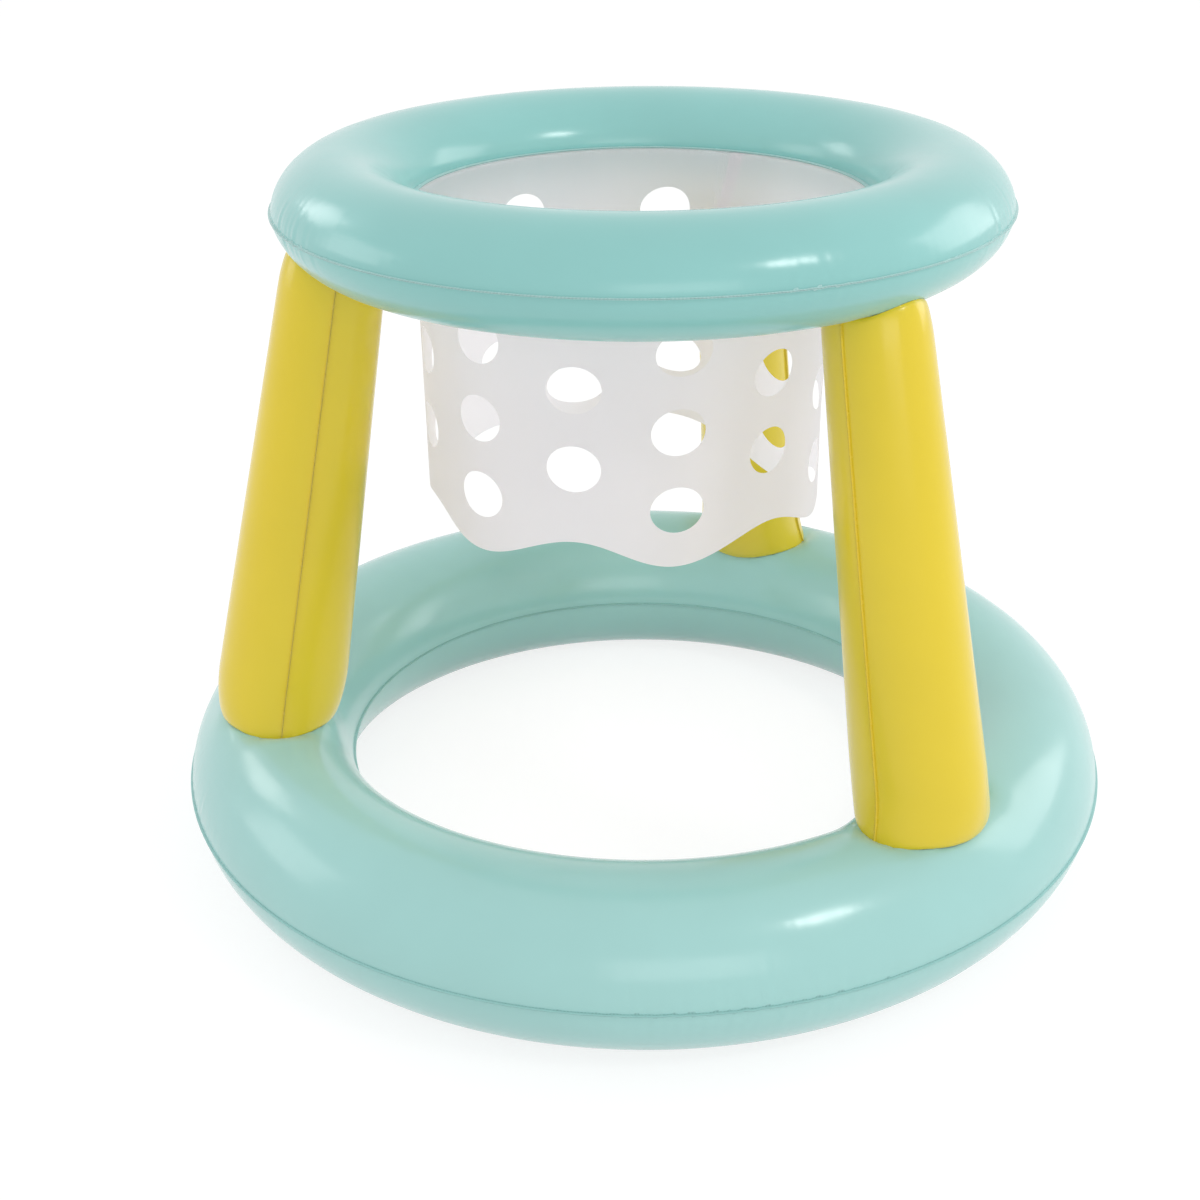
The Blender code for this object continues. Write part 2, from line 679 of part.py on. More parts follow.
def leg_valve(model, name, leg, turned, panel, meshes):
    """Valve on a leg's inner panel, at one of its rows, turned from the panel's middle by an angle."""
    outer, inner = patch_depths()
    half = LEG_ARC_SEGMENTS // 4
    middle = math.pi + turned

    def place(column, row):
        angle = middle + math.pi * (column - half) / LEG_ARC_SEGMENTS
        return leg.skin(angle, leg.row_height(LEG_VALVE_ROW - 1 + row), outer)

    mesh = mapped_grid(f"{name}_patch", 2 * half, 2, place)
    patch = model.piece(f"{name}_patch", mesh, model.clear)
    patch.matrix_world = leg.matrix
    solidify(patch, inner - outer)
    origin = leg.skin(middle, leg.row_height(LEG_VALVE_ROW), 0)
    slope = Vector((math.cos(middle) / LEG_RADIAL_SHARE, math.sin(middle) / LEG_TANGENT_SHARE, 0))
    outwards = slope.normalized()
    up = Vector((0, 0, 1))
    axes = Matrix((up, outwards.cross(up), outwards)).transposed()
    matrix = leg.matrix @ Matrix.Translation(origin) @ axes.to_4x4()
    valve(model, name, matrix, panel, patch, meshes)


def main():
    clear_scene()
    model = Model()
    base, base_upper = base_ring(model)
    hoop_upper = hoop_ring(model)
    base_envelope = ring_envelope(
        model, "base_envelope", base, arc_angles(BASE_ARC_SEGMENTS), base_lower_angles()
    )
    hoop_angles = arc_angles(HOOP_ARC_SEGMENTS)
    hoop_envelope = ring_envelope(model, "hoop_envelope", HOOP_RING, hoop_angles, hoop_angles)
    net(model)
    meshes = stem_mesh(model), plug_mesh(model), flap_mesh()
    ring_valve(
        model, "base_valve", base, BASE_ARC_SEGMENTS, BASE_VALVE_ANGLE, BASE_VALVE_TUBE_ANGLE_SHARE,
        base_upper, meshes,
    )
    ring_valve(
        model, "hoop_valve", HOOP_RING, HOOP_ARC_SEGMENTS, HOOP_VALVE_ANGLE,
        HOOP_VALVE_TUBE_ANGLE_SHARE, hoop_upper, meshes,
    )
    for side_name, angle in LEG_ANGLES.items():
        leg, panels = build_leg(model, base, side_name, angle, base_envelope, hoop_envelope)
        turned = LEG_VALVE_TURNS[side_name]
        leg_valve(model, f"{side_name}_leg_valve", leg, turned, panels["inner"], meshes)


main()
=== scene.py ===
"""Floating basketball hoop, dressed: inflated vinyl skins, punched net, valves, stage and camera.

Metres, +Z up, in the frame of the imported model. The file is laid out as an add-on and run as a script.
"""
import json
import math
from collections import namedtuple

import bpy
import numpy as np
from bpy.props import FloatProperty, FloatVectorProperty, PointerProperty
from mathutils import Matrix, Vector


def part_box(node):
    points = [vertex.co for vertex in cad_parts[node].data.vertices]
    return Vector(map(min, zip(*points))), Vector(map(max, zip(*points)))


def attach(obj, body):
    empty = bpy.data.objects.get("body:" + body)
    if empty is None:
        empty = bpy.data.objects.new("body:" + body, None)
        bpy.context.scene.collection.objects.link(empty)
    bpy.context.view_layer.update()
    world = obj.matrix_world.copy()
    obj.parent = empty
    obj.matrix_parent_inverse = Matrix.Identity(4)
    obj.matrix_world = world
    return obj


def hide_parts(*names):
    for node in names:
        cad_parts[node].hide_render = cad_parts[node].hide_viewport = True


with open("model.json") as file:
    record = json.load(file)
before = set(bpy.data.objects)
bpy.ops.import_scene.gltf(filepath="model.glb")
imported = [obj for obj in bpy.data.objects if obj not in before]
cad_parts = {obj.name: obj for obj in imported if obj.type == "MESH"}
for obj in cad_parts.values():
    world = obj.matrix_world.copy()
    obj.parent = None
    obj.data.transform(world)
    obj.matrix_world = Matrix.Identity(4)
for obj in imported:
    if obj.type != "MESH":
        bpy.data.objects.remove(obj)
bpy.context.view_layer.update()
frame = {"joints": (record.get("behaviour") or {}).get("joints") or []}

bl_info = {
    "name": "Floating Basketball Hoop",
    "version": (1, 0, 0),
    "blender": (4, 5, 0),
    "location": "View3D > Sidebar > Pool Hoop",
    "description": "Builds an inflatable floating basketball hoop and the studio it stands in",
    "category": "Add Mesh",
}

BODY = "hoop"

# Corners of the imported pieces, which give the sizes their defaults
BASE_LOW, BASE_HIGH = (Vector(corner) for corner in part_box("base_ring_upper_panel"))
HOOP_LOW, HOOP_HIGH = (Vector(corner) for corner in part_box("hoop_ring_upper_panel"))

LEG_ANGLES = {"left": math.radians(192.5), "right": math.radians(312.5), "back": math.radians(69)}
# Middles of the net's hole columns, clockwise from the lap; the first is over a lobe, the next a notch
HOLE_COLUMN_ANGLES = np.radians((46.5, 16, -15, -45.5, -74.7, -102.5, -131.3, -161, -199, -236, -255, -280))

VALVES = ("base_valve", "hoop_valve", "left_leg_valve", "right_leg_valve", "back_leg_valve")

# How finely the skins are cut, and how near two points are to be one
ARC_CELLS = 32
SECTOR_DOUBLINGS = 4
BASE_SECTOR_STEPS = 75
HOOP_SECTOR_STEPS = 60
SEAM_CROWDING = 0.5
LEG_CELLS = 44
LEG_LEVELS = 97
LEG_CROWDING = 0.7
DISC_SHRINKS = (0.85, 0.82, 0.78, 0.70, 0.60, 0.45)
HOLE_CELLS = 12
VALVE_SIDES = 48
PATCH_RINGS = 5
HALVINGS = 40
MERGE = 0.00001

# Stretches of the outer seams that are puckered: middle angle and reach in degrees, and strength
BASE_STRETCHES = np.array(((282, 15, 0.6), (200, 9, 0.8), (95, 12, 0.6), (30, 8, 0.8), (150, 7, 0.7)))
HOOP_STRETCHES = np.array(((206, 10, 1.0), (294, 6, 0.5), (338, 8, 0.7), (75, 9, 0.6), (130, 6, 0.6)))
CALM_STRENGTH = 0.1

# Waves of a seam's line and of the folds beside it: their lengths, their height in puckers, and how
# far from the seam they reach; the folds start a little way from the seam
LINE_PITCHES = (0.0091, 0.0119, 0.0157)
LINE_HEIGHT = 1.6
LINE_REACH = 0.0075
FOLD_PITCHES = (0.0083, 0.0119, 0.0163)
FOLD_HEIGHT = 2.0
FOLD_REACH = 0.0200
FOLD_START = 0.0040
LIP_RISE = 0.0016

# Where a ring's skin is drawn to a leg: how the pull fades round the weld, and dies out at the seams
SEAT_FADE = 2.2
SEAM_HOLD = 6

# Pleats at a leg's ends, the heights between which an end is looked for, and gaps inside the leg
PLEAT_COUNTS = (19, 27, 34)
PLEAT_FOOT_REACH = 0.009
PLEAT_HEAD_REACH = 0.008
FOOT_SEARCH = (-0.09, 0.05)
HEAD_SEARCH = 0.10
WALL_LIFT = 0.0001
DISC_MARGIN = 0.0016
FAR_FROM_SEAM = 0.02

# The net: holes one above the other, rows of cells below and above them, and how its hem is tucked in
HOLES_IN_COLUMN = 3
ROWS_BELOW = 2
ROWS_ABOVE = 3
HEM_TUCK = 0.0010
LAP_TURN = math.radians(1)

# Where the far side of the net hangs askew below its top row of holes: middle angle, reach, turn
NET_TURNS = np.radians(((44, 42, -12.5), (132, 22, 9)))
LOW_LOBE_REACH = math.radians(26)

# Shares of the net's drop: where the far side starts to turn and over how much, and to sag
ASKEW_START = 0.15
ASKEW_RUN = 0.4
SAG_RUN = 0.06

# The lamps' aim, how strongly vinyl pales at a slant, and where the net's ribs have their pitch
LAMP_AIM_HEIGHT = 0.30
RING_VEIL = 0.10
LEG_VEIL = 0.16
NET_WELD_RADIUS = 0.19

# Valves: gaps and walls, then the stem, the plug with its strap and hinge bead, the flap and the patch
VALVE_GAP = 0.0003
VALVE_WALL = 0.0003
STEM_RISE = 0.0012
STEM_TRAVEL = 0.012
STEM_RADIUS = 0.0045
STEM_BORE = 0.0025
STEM_PLAY = 0.0009
STOP_RADIUS = 0.00575
STOP_HEIGHT = 0.0012
STOP_ROOM = 0.0020
STEM_ROUNDING = 0.00016
LUG_HALF_WIDTH = 0.0018
LUG_THICKNESS = 0.0012
LUG_ROUNDING = 0.0003
PLUG_HINGE_OFFSET = 0.0080
PLUG_ROUNDING = 0.00008
CAP_RADIUS = 0.0045
CAP_TOP_RADIUS = 0.0030
CAP_THICKNESS = 0.0014
CAP_ROUNDING = 0.0004
CAP_CROWN = 0.0001
PIN_RADIUS = 0.0022
PIN_NECK_RADIUS = 0.0021
PIN_NECK = 0.0012
PIN_TIP_RADIUS = 0.0011
PIN_LENGTH = 0.0040
STRAP_HALF_WIDTH = 0.0015
STRAP_THICKNESS = 0.0010
STRAP_ROUNDING = 0.0002
BEAD_RADIUS = 0.0008
BEAD_SIDES = 24
FLAP_RADIUS = 0.0035
FLAP_THICKNESS = 0.0005
FLAP_ROUNDING = 0.00012
PORT_RADIUS = 0.011
PORT_DEPTH = 0.016
PATCH_RADIUS = 0.017
PATCH_THICKNESS = 0.0010
PATCH_ROUNDING = 0.0002
HINGE_HEIGHT = STEM_RISE + VALVE_GAP + BEAD_RADIUS
STEM_BOTTOM = -(VALVE_GAP + VALVE_WALL + PATCH_THICKNESS + STOP_ROOM + STEM_TRAVEL + STOP_HEIGHT)


def length(name, text, default, low=0.0001, high=2.0):
    return FloatProperty(name=name, description=text, default=default, min=low, max=high,
                         subtype="DISTANCE", unit="LENGTH", precision=4)


def factor(name, text, default, high=1.0):
    return FloatProperty(name=name, description=text, default=default, min=0.0, max=high,
                         subtype="FACTOR")


def slant(name, text, default):
    return FloatProperty(name=name, description=text, default=default, subtype="ANGLE")


def colour(name, text, default):
    return FloatVectorProperty(name=name, description=text, default=default, size=3, min=0.0,
                               max=1.0, subtype="COLOR")


class POOLHOOP_PG_rings(bpy.types.PropertyGroup):
    """Sizes of the two inflated rings and of their vinyl."""
    base_diameter: length("Base Diameter", "Across the base ring's outer seam lip", 2 * BASE_HIGH.x)
    base_tube_width: length("Base Tube Width", "Width of the base ring's tube", 0.150)
    hoop_diameter: length("Hoop Diameter", "Across the hoop ring's outer seam lip", 2 * HOOP_HIGH.x)
    hoop_tube_width: length("Hoop Tube Width", "Width of the hoop ring's tube", 0.112)
    seam_lip: length("Seam Lip", "How far a welded seam stands out", 0.0020)
    hem_lip: length("Hem Lip", "Wider lip inside the hoop ring, which the net is welded to", 0.0040)
    skin: length("Vinyl Thickness", "Thickness of the vinyl skins", 0.0003)
    gap: length("Clearance", "Gap between pieces that touch", 0.0003)
    pinch: FloatProperty(name="Seam Pinch", description="How pointed a tube is at its seams",
                         default=1.15, min=1.0, max=2.0)
    pucker: length("Pucker Height", "Height of the small puckers beside the outer seams", 0.00040, 0)


class POOLHOOP_PG_legs(bpy.types.PropertyGroup):
    """Sizes of the three tapered legs."""
    foot_width: length("Foot Width", "Size of a foot's weld towards the hoop's axis", 0.095)
    foot_length: length("Foot Length", "Size of a foot's weld along the base ring", 0.119)
    foot_level: length("Foot Level", "Height of a foot's weld, which draws the ring's skin flat", 0.1405)
    foot_radius: length("Foot Radius", "From the hoop's axis to the middle of a foot's weld", 0.3446)
    foot_tilt: FloatProperty(name="Foot Tilt", description="Slope of a foot's weld, up and outwards",
                             default=0.050, min=-0.5, max=0.5)
    foot_rounding: length("Foot Rounding", "Height over which a leg rounds in to its foot", 0.046)
    foot_flare: length("Foot Flare", "Height over which a leg spreads along the ring", 0.050)
    dent_reach: factor("Dent Reach", "How far round a weld the ring's skin is drawn, in weld sizes",
                       0.42, 2.0)
    head_width: length("Head Width", "Size of a head's weld towards the hoop's axis", 0.075)
    head_length: length("Head Length", "Size of a head's weld along the hoop ring", 0.072)
    head_level: length("Head Level", "Height of a head's weld, which draws the ring's skin flat", 0.5560)
    head_rounding: length("Head Rounding", "Height over which a leg rounds in to its head", 0.030)
    belly_diameter: length("Belly Diameter", "Across a leg at its widest", 0.110)
    head_diameter: length("Head Diameter", "Across a leg where it meets the hoop ring", 0.080)
    belly_height: length("Belly Height", "Height of the widest section above the foot", 0.050)
    foot_inset: length("Foot Inset", "How far the foot stands inside the base tube's middle", 0.012)
    head_inset: length("Head Inset", "How far the head stands inside the hoop tube's middle", 0.001)
    radial_share: factor("Radial Share", "Section's size towards the hoop's axis", 1.04, 2.0)
    tangent_share: factor("Tangent Share", "Section's size from seam to seam", 0.93, 2.0)
    pleat: length("Pleat Height", "Height of the small pleats at both ends of a leg", 0.00035, 0)


class POOLHOOP_PG_net(bpy.types.PropertyGroup):
    """Sizes of the net's punched vinyl strip."""
    drop: length("Drop", "From the hem down to the tips of the lobes", 0.266)
    taper: length("Taper", "How much the net draws in below its hem", 0.018)
    swing: length("Swing", "How far the net hangs to the left", 0.017)
    scallop: length("Scallop Height", "From the tips of the lobes up to the notches", 0.022)
    lap: length("Lap Width", "Overlap where the strip is welded to itself", 0.012)
    hole_width: length("Hole Width", "Width of the oval holes", 0.046)
    hole_height: length("Hole Height", "Height of the oval holes", 0.040)
    hole_pitch: length("Hole Pitch", "Distance from one hole up to the next", 0.067)
    lobe_margin: length("Lobe Margin", "From a lobe's tip up to the middle of its first hole", 0.050)
    notch_margin: length("Notch Margin", "From a notch up to the middle of its first hole", 0.064)
    sag: length("Far Sag", "How much lower the net hangs on its far side", 0.008, 0)
    low_lobe: length("Low Lobe", "How much lower the lobe at the far right hangs", 0.022, 0)
    ripple: length("Ripple", "How far the hanging strip waves in and out", 0.0012, 0)


class POOLHOOP_PG_finish(bpy.types.PropertyGroup):
    """Colours and gloss of the vinyl."""
    hoop_mint: colour("Hoop Mint", "Colour of the hoop ring", (0.265, 0.570, 0.545))
    # The base ring's mint is the hoop's vinyl painted paler: painted light for its upward-facing skin,
    # which catches more light; both rings are the same vinyl
    base_mint_with_painted_light: colour("Base Mint", "Paler colour of the base ring", (0.350, 0.625, 0.600))
    yellow: colour("Yellow", "Colour of the legs", (0.765, 0.580, 0.022))
    white: colour("Milky White", "Colour of the net", (0.930, 0.908, 0.920))
    clear: colour("Clear", "Colour of the valves", (0.800, 0.840, 0.840))
    ring_roughness: factor("Ring Roughness", "Roughness of the rings", 0.20)
    leg_roughness: factor("Leg Roughness", "Roughness of the legs", 0.22)
    net_roughness: factor("Net Roughness", "Roughness of the net", 0.42)
    weld_pitch: length("Weld Pitch", "Distance between the ribs pressed into a weld", 0.0027)


class POOLHOOP_PG_stage(bpy.types.PropertyGroup):
    """Camera, floor and light."""
    camera_distance: length("Camera Distance", "From the floor's middle to the camera", 1.75, 0.5, 20)
    camera_rise: slant("Camera Rise", "Angle of the camera above the floor", 0.56433)
    camera_pitch: slant("Camera Pitch", "How far the camera looks down", 0.45406)
    camera_yaw: slant("Camera Yaw", "How far the camera looks to the right", -0.02631)
    camera_roll: slant("Camera Roll", "How far the camera is tipped", -0.01201)
    lens: FloatProperty(name="Lens", description="Focal length in millimetres", default=52.55,
                        min=10, max=300)
    room_light: factor("Room Light", "Strength of the even light from all round", 0.78, 4.0)
    lamp_light: factor("Lamp Light", "Strength of the softboxes", 1.0, 4.0)
    floor_size: length("Floor Size", "Side of the square floor", 60.0, 1, 200)


Ring = namedtuple("Ring", "radius half_width rise seam_height outer_lip inner_lip sector_steps stretches")
Seat = namedtuple("Seat", "side level tilt radius width length reach")
# How a seam is painted, in order: how far a painted highlight pales its lip, the share of the colour left
# in its crease's painted shade, and where the lip begins
SeamLook = namedtuple("SeamLook", "lip_paleness crease_shade lip_edge")


# Selecting and shaping, as by hand


def clear_selection():
    if bpy.context.mode != "OBJECT":
        bpy.ops.object.mode_set(mode="OBJECT")
    bpy.ops.object.select_all(action="DESELECT")


def take(item):
    """Make one object the only selected one, and active."""
    clear_selection()
    item.select_set(True)
    bpy.context.view_layer.objects.active = item


def take_new(name):
    """Name the primitive just added, and settle its place into its mesh."""
    item = bpy.context.object
    item.name = name
    item.data.name = name
    bpy.ops.object.transform_apply(location=True, rotation=True, scale=True)
    return item


def points(item):
    values = np.empty(3 * len(item.data.vertices))
    item.data.vertices.foreach_get("co", values)
    return values.reshape(-1, 3)


def move_points(item, places):
    item.data.vertices.foreach_set("co", np.asarray(places, dtype=float).ravel())
    item.data.update()


def select_points(item, chosen):
    """Enter edit mode with only the chosen vertices selected."""
    take(item)
    bpy.ops.object.mode_set(mode="EDIT")
    bpy.ops.mesh.select_mode(type="VERT")
    bpy.ops.mesh.select_all(action="DESELECT")
    bpy.ops.object.mode_set(mode="OBJECT")
    item.data.vertices.foreach_set("select", np.asarray(chosen, dtype=bool))
    bpy.ops.object.mode_set(mode="EDIT")


def select_all_of(item):
    take(item)
    bpy.ops.object.mode_set(mode="EDIT")
    bpy.ops.mesh.select_mode(type="VERT")
    bpy.ops.mesh.select_all(action="SELECT")


def close_edit():
    bpy.ops.object.mode_set(mode="OBJECT")


def face_outwards(item):
    select_all_of(item)
    bpy.ops.mesh.normals_make_consistent(inside=False)
    close_edit()


def weld_and_face(item, outwards):
    """Merge doubles and turn all faces the way that outwards(centres) points."""
    select_all_of(item)
    bpy.ops.mesh.remove_doubles(threshold=MERGE)
    bpy.ops.mesh.normals_make_consistent(inside=False)
    close_edit()
    count = len(item.data.polygons)
    centres = np.empty(3 * count)
    normals = np.empty(3 * count)
    item.data.polygons.foreach_get("center", centres)
    item.data.polygons.foreach_get("normal", normals)
    wanted = outwards(centres.reshape(-1, 3))
    if (wanted * normals.reshape(-1, 3)).sum() < 0:
        select_all_of(item)
        bpy.ops.mesh.flip_normals()
        close_edit()


def apply_modifiers(item):
    take(item)
    for modifier in list(item.modifiers):
        bpy.ops.object.modifier_apply(modifier=modifier.name)


def give_thickness(item, thickness):
    """Turn a surface into a wall of even thickness, behind its faces."""
    modifier = item.modifiers.new("wall", "SOLIDIFY")
    modifier.thickness = thickness
    modifier.offset = -1
    modifier.use_even_offset = True
    apply_modifiers(item)


def soften(item, width):
    """Round the edges of a small moulded piece."""
    modifier = item.modifiers.new("round", "BEVEL")
    modifier.width = width
    modifier.segments = 2
    modifier.limit_method = "ANGLE"
    modifier.angle_limit = math.radians(30)
    apply_modifiers(item)


def throw_away(*items):
    for item in items:
        bpy.data.objects.remove(item, do_unlink=True)


def combine(item, tool, operation):
    """Cut, join or trim a piece with a tool, which is then thrown away."""
    modifier = item.modifiers.new("combine", "BOOLEAN")
    modifier.operation = operation
    modifier.solver = "EXACT"
    modifier.object = tool
    apply_modifiers(item)
    throw_away(tool)


def smooth(item, degrees=40):
    take(item)
    bpy.ops.object.shade_smooth_by_angle(angle=math.radians(degrees))


def copy_of(item, name):
    """A copy with its own mesh."""
    take(item)
    bpy.ops.object.duplicate(linked=False)
    return take_new(name)


def turned_copy(item, name, angle):
    copy = copy_of(item, name)
    copy.rotation_euler = (0, 0, angle)
    bpy.ops.object.transform_apply(location=False, rotation=True, scale=False)
    return copy


def place_in(item, matrix):
    take(item)
    item.matrix_world = matrix
    bpy.ops.object.transform_apply(location=True, rotation=True, scale=True)


def store(item, name, values):
    """Keep one number for each vertex, for the piece's material."""
    attribute = item.data.attributes.new(name, "FLOAT", "POINT")
    attribute.data.foreach_set("value", np.asarray(values, dtype=np.float32))


def finish_piece(item, material, body, node):
    """Give a piece its material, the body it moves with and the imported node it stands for."""
    item.data.materials.clear()
    item.data.materials.append(material)
    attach(item, body)
    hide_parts(node)


def placed_by(matrix, across, along, height):
    """World places, one to a row, of points given in a frame of their own."""
    return (np.array(matrix) @ np.stack([across, along, height, np.ones_like(height)]))[:3].T


def waves(angle, counts, starts):
    """A steady wavy line round a ring, from a few whole numbers of waves; about -1 to 1."""
    total = sum(np.sin(count * angle + start) for count, start in zip(counts, starts))
    return total / len(counts)


# Rings


def skin_base(sizes):
    """From a seam's middle to the outer face of either skin."""
    return sizes.gap / 2 + sizes.skin


def ring_of(sizes, low, high, diameter, tube_width, inner_lip, sector_steps, stretches):
    """A ring's sizes, from its own and from the heights of its packed upper panel."""
    seam = low.z - sizes.gap / 2
    half = tube_width / 2
    return Ring(diameter / 2 - sizes.seam_lip - half, half, high.z - seam - skin_base(sizes), seam,
                sizes.seam_lip, inner_lip, sector_steps, stretches)


def base_ring(sizes):
    return ring_of(sizes, BASE_LOW, BASE_HIGH, sizes.base_diameter, sizes.base_tube_width,
                   sizes.seam_lip, BASE_SECTOR_STEPS, BASE_STRETCHES)


def hoop_ring(sizes):
    return ring_of(sizes, HOOP_LOW, HOOP_HIGH, sizes.hoop_diameter, sizes.hoop_tube_width,
                   sizes.hem_lip, HOOP_SECTOR_STEPS, HOOP_STRETCHES)


def across_tube(ring, radius):
    """Where a distance from the hoop's axis lies across a tube: -1 and 1 at its seams."""
    return np.clip((radius - ring.radius) / ring.half_width, -1, 1)


def turned_apart(turn, middle):
    """Angle from one direction round the hoop's axis to another, the short way."""
    return np.mod(turn - middle + math.pi, math.tau) - math.pi


def tube_rise(ring, sizes, radius):
    """Height of a tube's skin above its lip, at a distance from the hoop's axis."""
    return ring.rise * (1 - across_tube(ring, radius) ** 2) ** (sizes.pinch / 2)


def tube_point(ring, sizes, side, angle, depth):
    """(radius, height) on a tube's skin: angle runs from the outer seam over the crest."""
    radius = ring.radius + (ring.half_width - depth) * np.cos(angle)
    rise = ring.rise * np.abs(np.sin(angle)) ** sizes.pinch
    return radius, ring.seam_height + side * (skin_base(sizes) + rise - depth)


def wave_counts(ring, pitches):
    """How many waves of each pitch go round a ring."""
    return [round(2 * math.pi * ring.radius / pitch) for pitch in pitches]


def pucker_ring(item, ring, sizes, side):
    """Raise the small puckers beside a ring's outer seam, and wave the seam with them."""
    places = points(item)
    turn = np.arctan2(places[:, 1], places[:, 0])
    slope = np.arccos(across_tube(ring, np.hypot(places[:, 0], places[:, 1])))
    from_seam = ring.half_width * slope
    middle, width = np.radians(ring.stretches[:, :2]).T
    apart = turned_apart(turn[:, None], middle)
    stretched = CALM_STRENGTH + (ring.stretches[:, 2] * np.exp(-(apart / width) ** 2)).max(axis=1)
    line = waves(turn, wave_counts(ring, LINE_PITCHES), (0.3, 1.9, 3.1)) * stretched
    places[:, 2] += LINE_HEIGHT * sizes.pucker * line * np.exp(-(from_seam / LINE_REACH) ** 2)
    starts = (1.3 + side, 0.2, 2.6 - side)
    folds = waves(turn, wave_counts(ring, FOLD_PITCHES), starts) * stretched
    reach = np.exp(-from_seam / FOLD_REACH) * (1 - np.exp(-(from_seam / FOLD_START) ** 2))
    push = FOLD_HEIGHT * sizes.pucker * folds * reach
    outwards = push * np.cos(slope)
    places[:, 0] += outwards * np.cos(turn)
    places[:, 1] += outwards * np.sin(turn)
    places[:, 2] += side * push * np.sin(slope)
    move_points(item, places)


def ring_skin(name, ring, sizes, side, floor=None, seat=None):
    """One skin of a ring: half a circle, pinched, given its lips and spun round the hoop's axis."""
    lip_height = ring.seam_height + side * skin_base(sizes)
    clear_selection()
    bpy.ops.mesh.primitive_circle_add(vertices=2 * ARC_CELLS, radius=ring.half_width,
                                      location=(ring.radius, 0, lip_height),
                                      rotation=(math.pi / 2, 0, 0))
    item = take_new(name)
    select_points(item, side * (points(item)[:, 2] - lip_height) < -MERGE)
    bpy.ops.mesh.delete(type="VERT")
    close_edit()
    places = points(item)
    angle = np.arctan2(np.abs(places[:, 2] - lip_height), places[:, 0] - ring.radius)
    angle -= SEAM_CROWDING * np.sin(2 * angle) / 2
    places[:, 0], places[:, 2] = tube_point(ring, sizes, side, angle, 0)
    if floor is not None:
        places[:, 2] = np.maximum(places[:, 2], floor)
    move_points(item, places)
    for end, lip in ((1, ring.outer_lip), (-1, ring.inner_lip)):
        tip = ring.radius + end * ring.half_width
        select_points(item, np.abs(points(item)[:, 0] - tip) < MERGE)
        bpy.ops.mesh.extrude_region_move(TRANSFORM_OT_translate={"value": (end * lip, 0, 0)})
        close_edit()
    sector = math.tau / 2 ** SECTOR_DOUBLINGS
    select_all_of(item)
    bpy.ops.mesh.spin(steps=ring.sector_steps, angle=sector, center=(0, 0, 0), axis=(0, 0, 1))
    for doubling in range(SECTOR_DOUBLINGS):
        bpy.ops.mesh.select_all(action="SELECT")
        bpy.ops.mesh.duplicate()
        bpy.ops.transform.rotate(value=sector * 2 ** doubling, orient_axis="Z",
                                 center_override=(0, 0, 0))
    close_edit()
    weld_and_face(item, lambda centres: np.array([0, 0, side]))
    pucker_ring(item, ring, sizes, side)
    if seat is not None:
        seat_legs(item, ring, sizes, seat)
    give_thickness(item, sizes.skin)
    return item


def ring_seam_distance(item, ring):
    """Distance of each vertex from the nearer seam's crease; negative out on a lip."""
    places = points(item)
    radius = np.hypot(places[:, 0], places[:, 1])
    outside = radius - (ring.radius + ring.half_width)
    inside = (ring.radius - ring.half_width) - radius
    from_outer = ring.half_width * np.arccos(across_tube(ring, radius))
    nearer = np.minimum(from_outer, math.pi * ring.half_width - from_outer)
    beyond = np.maximum(outside, inside)
    raised = np.maximum(np.abs(places[:, 2] - ring.seam_height) - LIP_RISE, 0)
    return np.where((beyond > 0) & (raised == 0), -beyond, np.maximum(nearer, raised))


def build_ring(scene, name, ring, rgb, look, upper, lower):
    """Both skins of a ring; upper and lower hold what else ring_skin has to know of each."""
    finish = scene.pool_hoop_finish
    ribs = ring_ribs(finish.weld_pitch, ring.radius + ring.half_width)
    material = vinyl(f"mint_vinyl_{name}", rgb, finish.ring_roughness, ribs, look, RING_VEIL)
    for side, word, settings in ((1, "upper", upper), (-1, "lower", lower)):
        skin = ring_skin(f"{name}_{word}_skin", ring, scene.pool_hoop_rings, side, **settings)
        if side == 1:
            cut_port(skin, f"{name}_valve")
        store(skin, "seam_distance", ring_seam_distance(skin, ring))
        smooth(skin)
        finish_piece(skin, material, BODY, f"{name}_ring_{word}_panel")


# Legs


def leg_matrix(base, hoop, sizes, ring_sizes):
    """A leg's own frame, drawn along +X: X points away from the hoop's axis, Z up the leg."""
    crest = base.seam_height + skin_base(ring_sizes) + base.rise
    foot = Vector((base.radius - sizes.foot_inset, 0, crest))
    head = Vector((hoop.radius - sizes.head_inset, 0, hoop.seam_height))
    up = (head - foot).normalized()
    across = Vector((0, 1, 0))
    axes = Matrix((across.cross(up), across, up)).transposed()
    return Matrix.Translation(foot) @ axes.to_4x4(), (head - foot).length


def tube_height(ring, ring_sizes, side, x, y):
    """Height of a ring's plain skin over a place."""
    rise = tube_rise(ring, ring_sizes, np.hypot(x, y))
    return ring.seam_height + side * (skin_base(ring_sizes) + rise)


def foot_seat(legs):
    return Seat(1, legs.foot_level, legs.foot_tilt, legs.foot_radius, legs.foot_width,
                legs.foot_length, legs.dent_reach)


def head_seat(legs, hoop):
    return Seat(-1, legs.head_level, 0, hoop.radius - legs.head_inset, legs.head_width,
                legs.head_length, legs.dent_reach)


def seat_height(ring, ring_sizes, seat, x, y):
    """Height of a ring's skin near a leg drawn along +X: flat at its weld, drawn in round it."""
    plain = tube_height(ring, ring_sizes, seat.side, x, y)
    pull = seat.side * (seat.level + seat.tilt * (x - seat.radius) - plain)
    outer_share = np.clip((x - seat.radius) / (seat.width / 2), 0, 1)
    pull = np.where(pull > 0, pull * (1 - outer_share / 2), pull)
    pull = pull * (1 - across_tube(ring, np.hypot(x, y)) ** SEAM_HOLD)
    apart = np.hypot((x - seat.radius) / (seat.width / 2), y / (seat.length / 2))
    share = np.clip(1 - (apart - 1) / seat.reach, 0, 1)
    return plain + seat.side * pull * share ** SEAT_FADE


